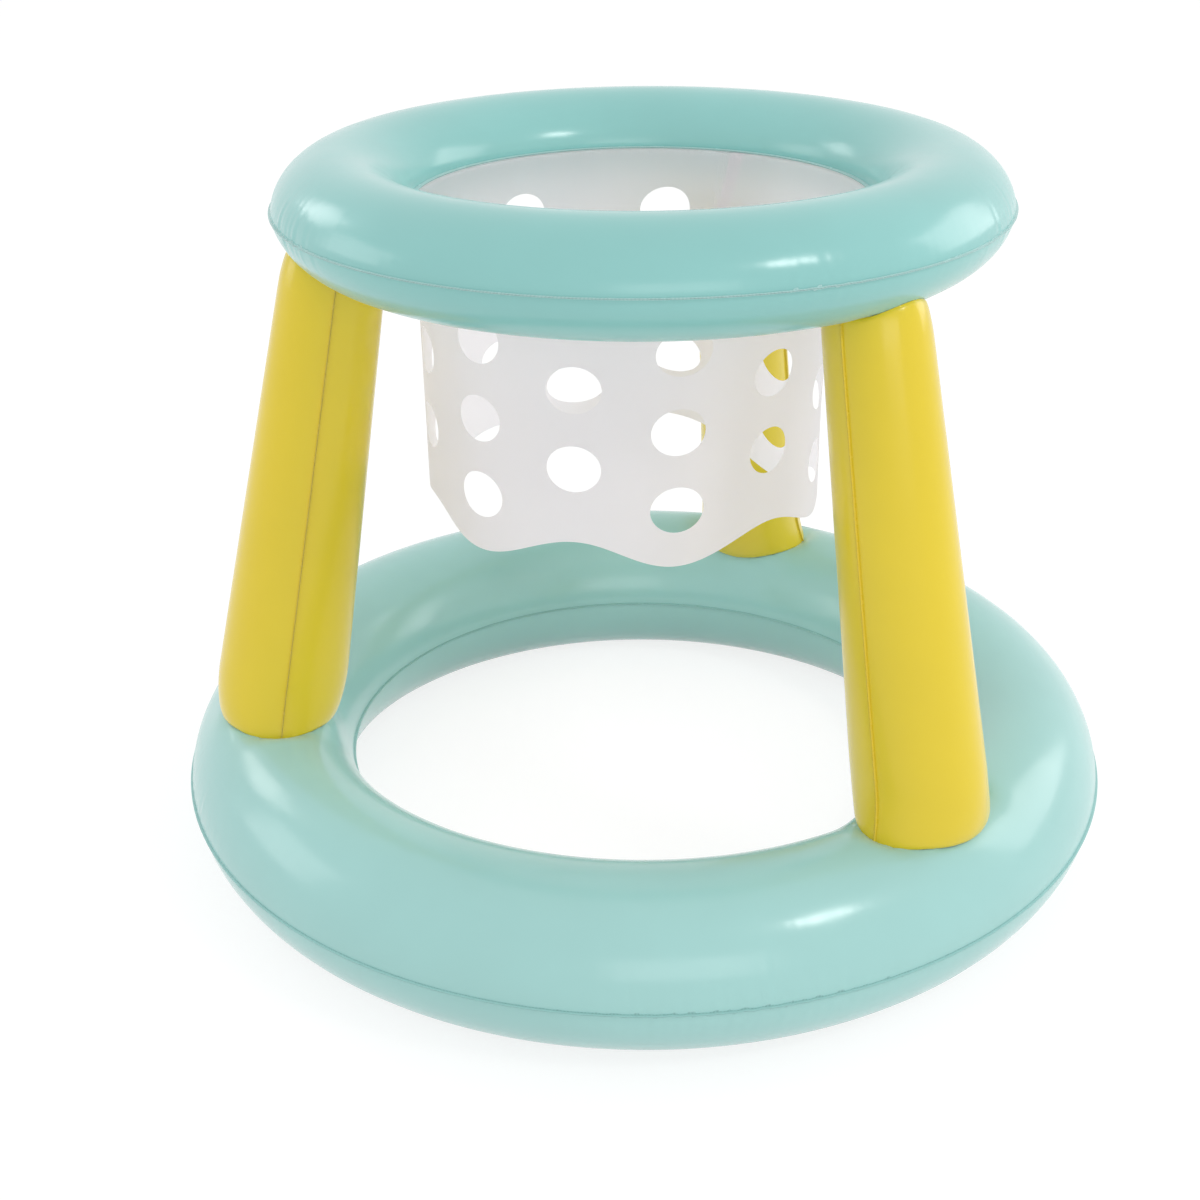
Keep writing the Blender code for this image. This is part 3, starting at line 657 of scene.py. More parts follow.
def seat_legs(item, ring, ring_sizes, seat):
    """Draw a ring's skin to the three legs that are welded to it."""
    places = points(item)
    for angle in LEG_ANGLES.values():
        x = places[:, 0] * math.cos(angle) + places[:, 1] * math.sin(angle)
        y = places[:, 1] * math.cos(angle) - places[:, 0] * math.sin(angle)
        plain = tube_height(ring, ring_sizes, seat.side, x, y)
        places[:, 2] += np.where(x > 0, seat_height(ring, ring_sizes, seat, x, y) - plain, 0)
    move_points(item, places)


def meet_surface(matrix, across, along, surface, low, high):
    """Heights in a leg's frame at which lines up the leg meet a surface given over (x, y)."""
    bottom = np.full(across.shape, low)
    top = np.full(across.shape, high)
    for _halving in range(HALVINGS):
        middle = (bottom + top) / 2
        x, y, z = placed_by(matrix, across, along, middle).T
        above = z > surface(x, y)
        top = np.where(above, middle, top)
        bottom = np.where(above, bottom, middle)
    return (bottom + top) / 2


class LegShape:
    """Turns a straight half-cylinder into half of a leg between the two rings."""

    def __init__(self, sizes, ring_sizes):
        self.sizes = sizes
        self.ring_sizes = ring_sizes
        self.base = base_ring(ring_sizes)
        self.hoop = hoop_ring(ring_sizes)
        self.matrix, self.length = leg_matrix(self.base, self.hoop, sizes, ring_sizes)
        self.foot = foot_seat(sizes)
        self.head = head_seat(sizes, self.hoop)

    def halves(self, above_foot, below_head):
        """Half sizes of the section, towards the hoop's axis and from seam to seam, at a height."""
        sizes = self.sizes
        run = np.clip((above_foot - sizes.belly_height) / (self.length - sizes.belly_height), 0, 1)
        plain = sizes.belly_diameter + (sizes.head_diameter - sizes.belly_diameter) * run
        foot_round = 1 - np.sqrt(1 - np.clip(1 - above_foot / sizes.foot_rounding, 0, 1) ** 2)
        head_round = 1 - np.sqrt(1 - np.clip(1 - below_head / sizes.head_rounding, 0, 1) ** 2)
        flare = np.clip(1 - above_foot / sizes.foot_flare, 0, 1) ** 2
        radial = plain * sizes.radial_share / 2
        radial = radial + (sizes.foot_width / 2 - radial) * foot_round
        radial = radial + (sizes.head_width / 2 - radial) * head_round
        tangential = plain * sizes.tangent_share / 2
        tangential = tangential + (sizes.foot_length / 2 - tangential) * flare
        return radial, tangential + (sizes.head_length / 2 - tangential) * head_round

    def end(self, at_head, across, along, lift):
        """Heights at which lines up the leg meet the ring at one end, lift short of its skin."""
        ring, seat = (self.hoop, self.head) if at_head else (self.base, self.foot)
        low, high = (self.length - HEAD_SEARCH, self.length) if at_head else FOOT_SEARCH

        def surface(x, y):
            return seat_height(ring, self.ring_sizes, seat, x, y) + seat.side * lift
        return meet_surface(self.matrix, across, along, surface, low, high)

    def ends(self, angle, facing):
        """Heights where the wall meets the base ring and the hoop ring, at angles round the leg."""
        foot_halves = self.halves(np.zeros_like(angle), np.full_like(angle, self.length))
        head_halves = self.halves(np.full_like(angle, self.length), np.zeros_like(angle))
        foot = self.end(False, *self.section(angle, facing, *foot_halves), WALL_LIFT)
        return foot, self.end(True, *self.section(angle, facing, *head_halves), WALL_LIFT)

    def section(self, angle, facing, radial, tangential):
        across = facing * (skin_base(self.ring_sizes) + radial * np.cos(angle))
        return across, facing * tangential * np.sin(angle)

    def wall(self, angle, share, lip, facing):
        """World places on the wall: share runs from foot to head, lip out along a seam's lip."""
        foot, head = self.ends(angle, facing)
        height = foot + (head - foot) * share
        above = height - foot
        below = head - height
        radial, tangential = self.halves(above, below)
        pleats = waves(angle * 2 + facing, PLEAT_COUNTS, (0.6, 2.2, 4.0)) * np.cos(angle)
        near_end = np.exp(-above / PLEAT_FOOT_REACH) + np.exp(-below / PLEAT_HEAD_REACH)
        fold = self.sizes.pleat * pleats * near_end
        across, along = self.section(angle, facing, radial + fold, tangential + fold)
        return placed_by(self.matrix, across, along + facing * lip, height)


def leg_heights():
    """Shares of a leg's height, closer together near its ends."""
    steps = np.linspace(0, 1, LEG_LEVELS)
    crowded = 0.5 * (1 - np.cos(math.pi * steps))
    return crowded * LEG_CROWDING + steps * (1 - LEG_CROWDING)


def leg_half(name, shape, facing):
    """Half of a leg's wall: half a circle, given its lips, extruded up the leg and then swelled."""
    radius = shape.sizes.belly_diameter / 2
    lip = shape.ring_sizes.seam_lip
    clear_selection()
    bpy.ops.mesh.primitive_circle_add(vertices=2 * LEG_CELLS, radius=radius)
    item = take_new(name)
    select_points(item, points(item)[:, 0] < -MERGE)
    bpy.ops.mesh.delete(type="VERT")
    close_edit()
    for side in (1, -1):
        select_points(item, side * points(item)[:, 1] > radius - MERGE)
        bpy.ops.mesh.extrude_region_move(TRANSFORM_OT_translate={"value": (0, side * lip, 0)})
        close_edit()
    shares = leg_heights()
    select_all_of(item)
    for step in np.diff(shares):
        bpy.ops.mesh.extrude_region_move(TRANSFORM_OT_translate={"value": (0, 0, step)})
    close_edit()
    places = points(item)
    share = np.clip(places[:, 2], 0, 1)
    out = np.clip(np.abs(places[:, 1]) - radius, 0, None)
    side = np.sign(places[:, 1])
    angle = np.arctan2(places[:, 1], places[:, 0])
    angle = np.where(out > MERGE, side * math.pi / 2, angle)
    move_points(item, shape.wall(angle, share, side * out, facing))
    from_seam = (math.pi / 2 - np.abs(angle)) * radius
    store(item, "seam_distance", np.where(out > MERGE, -out, from_seam))
    matrix = np.array(shape.matrix)
    middle = matrix[:3, 3] + matrix[:3, 2] * shape.length / 2
    weld_and_face(item, lambda centres: (centres - middle) * np.array([1, 1, 0]))
    give_thickness(item, shape.ring_sizes.skin)
    return item


def leg_disc(name, shape, at_head):
    """Disc that closes a leg's end, lying on the ring's skin: a circle filled ring by ring."""
    clear_selection()
    bpy.ops.mesh.primitive_circle_add(vertices=2 * LEG_CELLS, radius=1)
    item = take_new(name)
    select_all_of(item)
    for shrink in DISC_SHRINKS:
        bpy.ops.mesh.extrude_region_move(TRANSFORM_OT_translate={"value": (0, 0, 0)})
        bpy.ops.transform.resize(value=(shrink, shrink, 1), center_override=(0, 0, 0))
    bpy.ops.mesh.edge_face_add()
    bpy.ops.mesh.poke()
    close_edit()
    places = points(item)
    side = -1 if at_head else 1
    wall = 2 * shape.ring_sizes.gap + shape.ring_sizes.skin + DISC_MARGIN
    radial, tangential = shape.halves(*((shape.length, 0) if at_head else (0, shape.length)))
    across = places[:, 0] * (radial - wall)
    along = places[:, 1] * (tangential - wall)
    height = shape.end(at_head, across, along, shape.ring_sizes.gap + shape.ring_sizes.skin)
    move_points(item, placed_by(shape.matrix, across, along, height))
    weld_and_face(item, lambda centres: np.array([0, 0, side]))
    give_thickness(item, shape.ring_sizes.skin)
    store(item, "seam_distance", np.full(len(item.data.vertices), FAR_FROM_SEAM))
    smooth(item)
    return item


# Net


class NetShape:
    """Lays the flat strip out: columns of oval holes, and a scalloped lower edge."""

    def __init__(self, sizes, ring_sizes):
        hoop = hoop_ring(ring_sizes)
        self.sizes = sizes
        self.skin = ring_sizes.skin
        self.lip_radius = hoop.radius - hoop.half_width - hoop.inner_lip
        self.hem_radius = hoop.radius - hoop.half_width - HEM_TUCK
        self.top = hoop.seam_height - skin_base(ring_sizes) - ring_sizes.gap
        self.layer = ring_sizes.skin + ring_sizes.gap
        self.columns = len(HOLE_COLUMN_ANGLES)
        self.centres = np.append(HOLE_COLUMN_ANGLES, HOLE_COLUMN_ANGLES[0] - math.tau)
        self.edge = (self.centres[0] + self.centres[-2] + math.tau) / 2
        middles = (self.centres[:-1] + self.centres[1:]) / 2
        self.borders = np.append(self.edge, middles)
        self.start = self.edge + LAP_TURN
        lap = sizes.lap / (self.lip_radius - sizes.taper)
        cells = np.concatenate([
            np.linspace(first, last, HOLE_CELLS // 2, endpoint=False)
            for pair in zip(self.borders[:-1], self.centres[:-1], self.borders[1:])
            for first, last in zip(pair[:-1], pair[1:])])
        tail = np.array([self.start + LAP_TURN / 2, self.edge, self.edge - lap / 2, self.start - lap])
        self.angles = np.concatenate([[self.start], cells, tail - math.tau])
        self.last_hole_row = ROWS_BELOW + HOLE_CELLS * (2 * HOLES_IN_COLUMN + 1) // 2
        self.rows = self.last_hole_row + ROWS_ABOVE
        self.first_level = self.lowest(self.centres[0]) + sizes.lobe_margin - sizes.hole_pitch / 2

    def column_at(self, angle):
        """Where an angle lies among the columns: a whole number in a column's middle."""
        gone = np.mod(self.centres[0] - angle, math.tau)
        return np.interp(gone, self.centres[0] - self.centres, np.arange(self.columns + 1))

    def lowest(self, angle):
        wave = np.cos(math.pi * self.column_at(angle))
        return self.top - self.sizes.drop + self.sizes.scallop / 2 * (1 - wave)

    def level(self, row, angle):
        """Height of a row of the strip at an angle, before the holes pull at it."""
        sizes = self.sizes
        step = sizes.hole_pitch / HOLE_CELLS
        low = self.lowest(angle)
        side_low = self.lowest(self.edge)
        over_lobe = np.mod(np.rint(self.column_at(angle)), 2) < 0.5
        settled = np.where(over_lobe, ROWS_BELOW, ROWS_BELOW + HOLE_CELLS // 2)
        plain = self.first_level + (row - ROWS_BELOW) * step
        side = np.where(row < ROWS_BELOW,
                        side_low + (self.first_level - side_low) * row / ROWS_BELOW, plain)
        ceiling = self.first_level + (settled - ROWS_BELOW) * step
        share = (side - side_low) / (ceiling - side_low)
        height = np.where(row < settled, low + (ceiling - low) * share, plain)
        highest = self.first_level + (self.last_hole_row - ROWS_BELOW) * step
        above = (self.top - highest) * (row - self.last_hole_row) / ROWS_ABOVE
        return np.where(row > self.last_hole_row, highest + above, height)

    def place(self, angle, height, lift):
        """World place of a point of the strip from its angle and height."""
        sizes = self.sizes
        low = self.lowest(angle)
        share = np.clip((self.top - height) / (self.top - low), 0, 1)
        hang = 1 - (1 - share) ** 4
        apart = turned_apart(angle[:, None], NET_TURNS[:, 0])
        turns = (NET_TURNS[:, 2] * np.exp(-(apart / NET_TURNS[:, 1]) ** 2)).sum(axis=1)
        askew = np.clip((share - ASKEW_START) / ASKEW_RUN, 0, 1)
        angle = angle + turns * askew ** 2 * (3 - 2 * askew)
        lobes = np.cos(math.pi * self.column_at(angle))
        wave = waves(angle, (5, 9, 13), (0.7, 2.9, 1.2)) + 0.7 * lobes
        radius = self.lip_radius - sizes.taper * hang + lift + sizes.ripple * share ** 1.5 * wave
        far_sag = sizes.sag * (1 + np.sin(angle)) / 2 * np.clip(share / SAG_RUN, 0, 1)
        low_lobe = sizes.low_lobe * np.exp(-(apart[:, 0] / LOW_LOBE_REACH) ** 2) * askew
        x = radius * np.cos(angle) - sizes.swing * hang
        return np.stack([x, radius * np.sin(angle), height - far_sag - low_lobe], 1)


class HoleCells:
    """Which hole each point of the strip's grid is near, and how many cells from its middle."""

    def __init__(self, shape, column, row):
        cell = column - 1
        hole = cell // HOLE_CELLS
        self.half = HOLE_CELLS // 2
        self.inner = HOLE_CELLS // 4
        self.first_row = np.where(hole % 2 == 0, ROWS_BELOW, ROWS_BELOW + self.half)
        self.across = cell % HOLE_CELLS - self.half
        self.along = (row - self.first_row) % HOLE_CELLS - self.half
        self.ring = np.maximum(np.abs(self.across), np.abs(self.along))
        self.count = (row - self.first_row) // HOLE_CELLS
        in_column = (cell >= 0) & (cell < shape.columns * HOLE_CELLS)
        self.holed = in_column & (self.count >= 0) & (self.count < HOLES_IN_COLUMN)
        self.hole = np.clip(hole, 0, shape.columns - 1)

    def turn(self):
        """Angle of a point round its hole's middle, as its square ring of cells becomes round."""
        safe = np.maximum(self.ring, 1)
        sideways = np.abs(self.across) >= np.abs(self.along)
        turn = np.where(sideways, self.along / safe * math.pi / 4,
                        math.pi / 2 - self.across / safe * math.pi / 4)
        turn = np.where(sideways & (self.across < 0), math.pi - turn, turn)
        return np.where(~sideways & (self.along < 0), -turn, turn)


def draw_to_holes(shape, cells, angle, height):
    """Angles and heights of the strip's points once the cells round each hole follow its oval."""
    sizes = shape.sizes
    safe = np.maximum(cells.ring, 1)
    turn = cells.turn()
    centre = shape.centres[cells.hole]
    margin = np.where(cells.hole % 2 == 0, sizes.lobe_margin, sizes.notch_margin)
    centre_height = shape.lowest(centre) + margin + cells.count * sizes.hole_pitch
    local_radius = shape.lip_radius - sizes.taper
    oval_angle = centre - sizes.hole_width / 2 / local_radius * np.cos(turn)
    oval_height = centre_height + sizes.hole_height / 2 * np.sin(turn)
    side = np.where(cells.across > 0, shape.borders[cells.hole + 1], shape.borders[cells.hole])
    border_angle = centre + (side - centre) * np.abs(cells.across) / safe
    middle_row = cells.first_row + cells.count * HOLE_CELLS + cells.half
    border_height = shape.level(middle_row + cells.along / safe * cells.half, border_angle)
    share = np.clip((cells.ring - cells.inner) / (cells.half - cells.inner), 0, 1)
    drawn = cells.holed & (cells.ring >= cells.inner)
    return (np.where(drawn, oval_angle + (border_angle - oval_angle) * share, angle),
            np.where(drawn, oval_height + (border_height - oval_height) * share, height))


def strip_places(shape, cells, column, row):
    """World places of the strip's points, with its lap laid over and its hem tucked in."""
    angle = shape.angles[column]
    height = shape.level(np.minimum(row, shape.rows), angle)
    angle, height = draw_to_holes(shape, cells, angle, height)
    lapped = column >= shape.columns * HOLE_CELLS + 1
    lift = np.where(lapped, shape.layer, 0)
    places = shape.place(angle, height, lift)
    hem = row > shape.rows
    places[hem, 0] = shape.hem_radius * np.cos(angle[hem])
    places[hem, 1] = shape.hem_radius * np.sin(angle[hem])
    places[hem, 2] = shape.top
    at_top = row >= shape.rows
    places[at_top, 2] -= lift[at_top]
    return places


def net_strip(name, shape):
    """The whole net: a grid with its holes cut out and rounded, hung from the hem."""
    columns = len(shape.angles) - 1
    rows = shape.rows + 1
    clear_selection()
    bpy.ops.mesh.primitive_grid_add(x_subdivisions=columns, y_subdivisions=rows, size=2)
    item = take_new(name)
    places = points(item)
    column = np.rint((places[:, 0] + 1) / 2 * columns).astype(int)
    row = np.rint((places[:, 1] + 1) / 2 * rows).astype(int)
    cells = HoleCells(shape, column, row)
    move_points(item, strip_places(shape, cells, column, row))
    select_points(item, cells.holed & (cells.ring < cells.inner))
    bpy.ops.mesh.delete(type="VERT")
    close_edit()
    weld_and_face(item, lambda centres: centres * np.array([1, 1, 0]))
    modifier = item.modifiers.new("round", "SUBSURF")
    modifier.levels = 1
    modifier.render_levels = 1
    modifier.boundary_smooth = "PRESERVE_CORNERS"
    apply_modifiers(item)
    give_thickness(item, shape.skin)
    return item


def net_weld_distance(item, shape):
    """Distance of each vertex from the hem weld or the lap weld's middle, whichever is nearer."""
    places = points(item)
    mostly_swung = 0.9 * shape.sizes.swing
    turn = np.arctan2(places[:, 1], places[:, 0] + mostly_swung)
    middle = shape.start - shape.sizes.lap / 2 / (shape.lip_radius - shape.sizes.taper)
    apart = np.abs(turned_apart(turn, middle)) * shape.lip_radius
    return np.minimum(shape.top - places[:, 2], apart)


# Valves


def valve_matrix(valve):
    """A valve's own frame, from its joints: Z out of the skin, X towards the plug's hinge."""
    joints = {joint["name"]: joint for joint in frame["joints"]}
    out = Vector(joints[f"{valve}_stem_pull"]["axis"]).normalized()
    hinge = joints[f"{valve}_plug_open"]
    side = Vector(hinge["axis"]).normalized()
    forward = side.cross(out).normalized()
    origin = Vector(hinge["pos_m"]) - forward * PLUG_HINGE_OFFSET - out * HINGE_HEIGHT
    return Matrix.Translation(origin) @ Matrix((forward, side, out)).transposed().to_4x4()


def cut_port(item, valve):
    """Cut the round port through a skin, where a valve's patch is welded behind it."""
    clear_selection()
    bpy.ops.mesh.primitive_cylinder_add(vertices=2 * VALVE_SIDES, radius=PORT_RADIUS,
                                        depth=PORT_DEPTH)
    tool = take_new("port_tool")
    place_in(tool, valve_matrix(valve))
    combine(item, tool, "DIFFERENCE")


def turned(name, outline):
    """A moulded piece grown ring by ring from (radius, height) pairs, with both rims open."""
    radius, height = outline[0]
    clear_selection()
    bpy.ops.mesh.primitive_circle_add(vertices=VALVE_SIDES, radius=radius, location=(0, 0, height))
    item = take_new(name)
    select_all_of(item)
    for next_radius, next_height in outline[1:]:
        shrink = next_radius / radius
        rise = next_height - height
        bpy.ops.mesh.extrude_region_move(TRANSFORM_OT_translate={"value": (0, 0, rise)})
        bpy.ops.transform.resize(value=(shrink, shrink, 1), center_override=(0, 0, next_height))
        radius, height = next_radius, next_height
    bpy.ops.mesh.select_all(action="DESELECT")
    bpy.ops.mesh.select_non_manifold()
    return item


def close_ends(item):
    """Fill both open rims of a turned piece."""
    bpy.ops.mesh.edge_face_add()
    close_edit()
    face_outwards(item)


def block(name, low, high, rounding):
    """A small block with rounded edges, between two corners."""
    low, high = Vector(low), Vector(high)
    clear_selection()
    bpy.ops.mesh.primitive_cube_add(size=1, location=(low + high) / 2)
    item = bpy.context.object
    item.scale = high - low
    item = take_new(name)
    soften(item, rounding)
    return item


def stem_piece():
    """Tube with a stop at its inner end, and a lug at its mouth that carries the plug."""
    stop_top = STEM_BOTTOM + STOP_HEIGHT
    item = turned("valve_stem_model", [
        (STEM_BORE, STEM_RISE), (STEM_RADIUS, STEM_RISE), (STEM_RADIUS, stop_top),
        (STOP_RADIUS, stop_top), (STOP_RADIUS, STEM_BOTTOM), (STEM_BORE, STEM_BOTTOM)])
    bpy.ops.mesh.bridge_edge_loops()
    close_edit()
    face_outwards(item)
    lug_root, lug_tip = 0.0036, PLUG_HINGE_OFFSET + 2 * BEAD_RADIUS
    lug = block("lug", (lug_root, -LUG_HALF_WIDTH, STEM_RISE - LUG_THICKNESS),
                (lug_tip, LUG_HALF_WIDTH, STEM_RISE), LUG_ROUNDING)
    combine(item, lug, "UNION")
    soften(item, STEM_ROUNDING)
    smooth(item)
    return item


def hinge_bead():
    """The rounded edge that the plug's strap turns on."""
    clear_selection()
    bpy.ops.mesh.primitive_cylinder_add(vertices=BEAD_SIDES, radius=BEAD_RADIUS,
                                        depth=2 * STRAP_HALF_WIDTH, rotation=(math.pi / 2, 0, 0),
                                        location=(PLUG_HINGE_OFFSET, 0, 0))
    return take_new("bead")


def plug_piece():
    """Plug with a rounded cap, a tapered pin, its strap and its hinge bead, drawn on its hinge."""
    under = STEM_RISE + VALVE_GAP - HINGE_HEIGHT
    strap_top = under + STRAP_THICKNESS
    item = turned("valve_plug_model", [
        (CAP_TOP_RADIUS, under + CAP_THICKNESS + CAP_CROWN),
        (CAP_RADIUS - CAP_ROUNDING, under + CAP_THICKNESS),
        (CAP_RADIUS, under + CAP_THICKNESS - CAP_ROUNDING), (CAP_RADIUS, under), (PIN_RADIUS, under),
        (PIN_NECK_RADIUS, under - PIN_NECK), (PIN_TIP_RADIUS, under - PIN_LENGTH)])
    close_ends(item)
    combine(item, block("strap", (PIN_RADIUS, -STRAP_HALF_WIDTH, under),
                        (PLUG_HINGE_OFFSET, STRAP_HALF_WIDTH, strap_top), STRAP_ROUNDING), "UNION")
    combine(item, hinge_bead(), "UNION")
    soften(item, PLUG_ROUNDING)
    smooth(item)
    return item


def flap_piece():
    item = turned("valve_flap_model", [(FLAP_RADIUS, 0), (FLAP_RADIUS, -FLAP_THICKNESS)])
    close_ends(item)
    soften(item, FLAP_ROUNDING)
    smooth(item)
    return item


def patch_piece(name, valve, bend):
    """Round patch welded behind a skin: a ring of faces bent to the skin, with the stem's hole."""
    hole = STEM_RADIUS + STEM_PLAY / 2
    width = PATCH_RADIUS - hole
    item = turned(name, [(hole + width * share, 0) for share in np.linspace(0, 1, PATCH_RINGS + 1)])
    close_edit()
    matrix = valve_matrix(valve)
    out = np.array(matrix.to_3x3().col[2])
    move_points(item, bend(placed_by(matrix, *points(item).T)))
    weld_and_face(item, lambda centres: out)
    give_thickness(item, PATCH_THICKNESS)
    soften(item, PATCH_ROUNDING)
    smooth(item)
    return item


def ring_wall_point(ring, sizes, depth):
    """Bends flat places onto the upper skin of a ring, at a depth below its outer face."""
    def bend(world):
        radius = np.hypot(world[:, 0], world[:, 1])
        rise = world[:, 2] - ring.seam_height - skin_base(sizes)
        angle = np.arctan2(rise / ring.rise, (radius - ring.radius) / ring.half_width)
        new_radius, height = tube_point(ring, sizes, 1, angle, depth)
        x, y = (world[:, :2].T / radius) * new_radius
        return np.stack([x, y, height], 1)
    return bend


def leg_wall_point(shape, turn, depth):
    """Bends flat places onto a leg's inner wall, at a depth below its outer face."""
    matrix = np.array(Matrix.Rotation(turn, 4, "Z") @ shape.matrix)
    back = np.linalg.inv(matrix)

    def bend(world):
        x, y, height = placed_by(back, *world.T).T
        angle = np.arctan2(-y / shape.sizes.tangent_share, -x / shape.sizes.radial_share)
        foot, head = shape.ends(angle, -1)
        radial, tangential = shape.halves(height - foot, head - height)
        across, along = shape.section(angle, -1, radial - depth, tangential - depth)
        return placed_by(matrix, across, along, height)
    return bend


# Materials


class Nodes:
    """Short names for building one material's nodes."""

    def __init__(self, name):
        self.material = bpy.data.materials.new(name)
        self.material.use_nodes = True
        self.tree = self.material.node_tree
        self.shader = self.tree.nodes["Principled BSDF"]
        self.output = self.tree.nodes["Material Output"]

    def add(self, kind, **settings):
        node = self.tree.nodes.new(kind)
        for key, value in settings.items():
            setattr(node, key, value)
        return node

    def link(self, source, target):
        self.tree.links.new(source, target)

    def feed(self, socket, value):
        if isinstance(value, bpy.types.NodeSocket):
            self.link(value, socket)
        else:
            socket.default_value = value

    def place(self):
        return self.add("ShaderNodeTexCoord").outputs["Object"]

    def place_parts(self):
        """The X, Y and Z of a point on the object."""
        node = self.add("ShaderNodeSeparateXYZ")
        self.link(self.place(), node.inputs[0])
        return node.outputs

    def maths(self, operation, first, second=0.0):
        node = self.add("ShaderNodeMath", operation=operation)
        self.feed(node.inputs[0], first)
        self.feed(node.inputs[1], second)
        return node.outputs[0]

    def spread(self, value, low, high, start=0.0, end=1.0, smoothly=True):
        """Map low..high to start..end, and hold it beyond."""
        kind = "SMOOTHSTEP" if smoothly else "LINEAR"
        node = self.add("ShaderNodeMapRange", interpolation_type=kind)
        self.feed(node.inputs["Value"], value)
        node.inputs["From Min"].default_value = low
        node.inputs["From Max"].default_value = high
        node.inputs["To Min"].default_value = start
        node.inputs["To Max"].default_value = end
        return node.outputs["Result"]

    def noise(self, scale, detail=2.0, roughness=0.5):
        node = self.add("ShaderNodeTexNoise")
        self.link(self.place(), node.inputs["Vector"])
        node.inputs["Scale"].default_value = scale
        node.inputs["Detail"].default_value = detail
        node.inputs["Roughness"].default_value = roughness
        return node.outputs["Fac"]

    def mottle(self, scale, detail, start=0.0, end=1.0):
        """Cloudy patches that go between two values."""
        return self.spread(self.noise(scale, detail), 0.3, 0.7, start, end)

    def mix(self, share, first, second):
        """One colour from two, by a share from 0 to 1."""
        node = self.add("ShaderNodeMix", data_type="RGBA")
        self.feed(node.inputs[0], share)
        self.feed(node.inputs[6], first)
        self.feed(node.inputs[7], second)
        return node.outputs[2]

    def mix_surfaces(self, share, first, second):
        """One surface from two, by a share from 0 to 1."""
        node = self.add("ShaderNodeMixShader")
        self.feed(node.inputs[0], share)
        self.link(first.outputs[0], node.inputs[1])
        self.link(second.outputs[0], node.inputs[2])
        return node

    def show(self, surface):
        self.link(surface.outputs[0], self.output.inputs["Surface"])

    def bumps(self, *layers):
        """Relief from layers of (height, strength, depth in metres), one over the other."""
        normal = None
        for height, strength, depth in layers:
            node = self.add("ShaderNodeBump")
            node.inputs["Strength"].default_value = strength
            node.inputs["Distance"].default_value = depth
            self.link(height, node.inputs["Height"])
            if normal is not None:
                self.link(normal, node.inputs["Normal"])
            normal = node.outputs["Normal"]
        return normal

    def attribute(self, name):
        return self.add("ShaderNodeAttribute", attribute_name=name).outputs["Fac"]

    def feed_shader(self, values):
        for name, value in values.items():
            self.feed(self.shader.inputs[name], value)


def opaque(rgb, share=1.0):
    return (*(min(1.0, channel * share) for channel in rgb), 1.0)


def paler(rgb, share):
    return opaque([value + (1 - value) * share for value in rgb])


def grey(value):
    return (value, value, value, 1)


def weld_ribs(nodes, run, ribs_per_unit):
    """Ribs along a weld, from 0 to 1; run is a length or an angle."""
    wave = nodes.maths("SINE", nodes.maths("MULTIPLY", run, ribs_per_unit * math.tau))
    return nodes.spread(wave, -1, 1, 0, 1, False)


def ring_ribs(pitch, radius):
    """Ribs round the hoop's axis, a whole number of them."""
    def build(nodes):
        parts = nodes.place_parts()
        turn = nodes.maths("ARCTAN2", parts["Y"], parts["X"])
        return weld_ribs(nodes, turn, round(math.tau * radius / pitch) / math.tau)
    return build


def height_ribs(pitch):
    """Ribs one above the other."""
    def build(nodes):
        return weld_ribs(nodes, nodes.place_parts()["Z"], 1 / pitch)
    return build


def vinyl(name, rgb, roughness, ribs_of, look, veil):
    """Glossy plasticised vinyl: soft dents, fine grain and ribbed welds, with a painted highlight along the
    seams' lips and painted shade in their creases.
    """
    nodes = Nodes(name)
    seam = nodes.attribute("seam_distance")
    beside = nodes.spread(nodes.maths("ABSOLUTE", seam), 0.0008, 0.0040, 1, 0)
    lip = nodes.spread(seam, look.lip_edge - 0.0003, look.lip_edge + 0.0002, 1, 0)
    off_lip = nodes.maths("SUBTRACT", 1, lip)
    crease = nodes.maths("MULTIPLY", off_lip, nodes.spread(seam, 0.0006, 0.0016, 1, 0))
    ribs = ribs_of(nodes)
    # Masks of the painted highlight on the lip and of the painted shade in the crease, both broken up by
    # the weld's ribs
    lip_highlight_marks = nodes.maths("MULTIPLY", lip, nodes.spread(ribs, 0, 1, 0.65, 1.0, False))
    painted_crease_marks = nodes.maths("MULTIPLY", crease, nodes.spread(ribs, 0, 1, 0.55, 1.0, False))
    painted_crease_share = nodes.maths("MULTIPLY", painted_crease_marks, 0.7)
    shade = nodes.mix(nodes.mottle(6.0, 3.0), opaque(rgb, 0.975), opaque(rgb, 1.025))
    # Pale the lip as a painted highlight, then darken the crease as painted shade
    shade = nodes.mix(lip_highlight_marks, shade, paler(rgb, look.lip_paleness))
    shade = nodes.mix(painted_crease_share, shade, opaque(rgb, look.crease_shade))
    uneven = nodes.mottle(38.0, 3.0, roughness - 0.03, roughness + 0.03)
    rough = nodes.maths("ADD", uneven, nodes.maths("MULTIPLY", beside, 0.05))
    relief = nodes.bumps((nodes.noise(9.0, 2.0, 0.4), 0.35, 0.0012),
                         (nodes.noise(60.0, 2.0), 0.12, 0.0003),
                         (nodes.noise(650.0, 1.0), 0.10, 0.00004),
                         (nodes.maths("MULTIPLY", ribs, beside), 0.5, 0.00014))
    nodes.feed_shader({"Base Color": shade, "Roughness": rough, "Normal": relief, "IOR": 1.52,
                       "Sheen Weight": veil, "Sheen Roughness": 0.4})
    return nodes.material


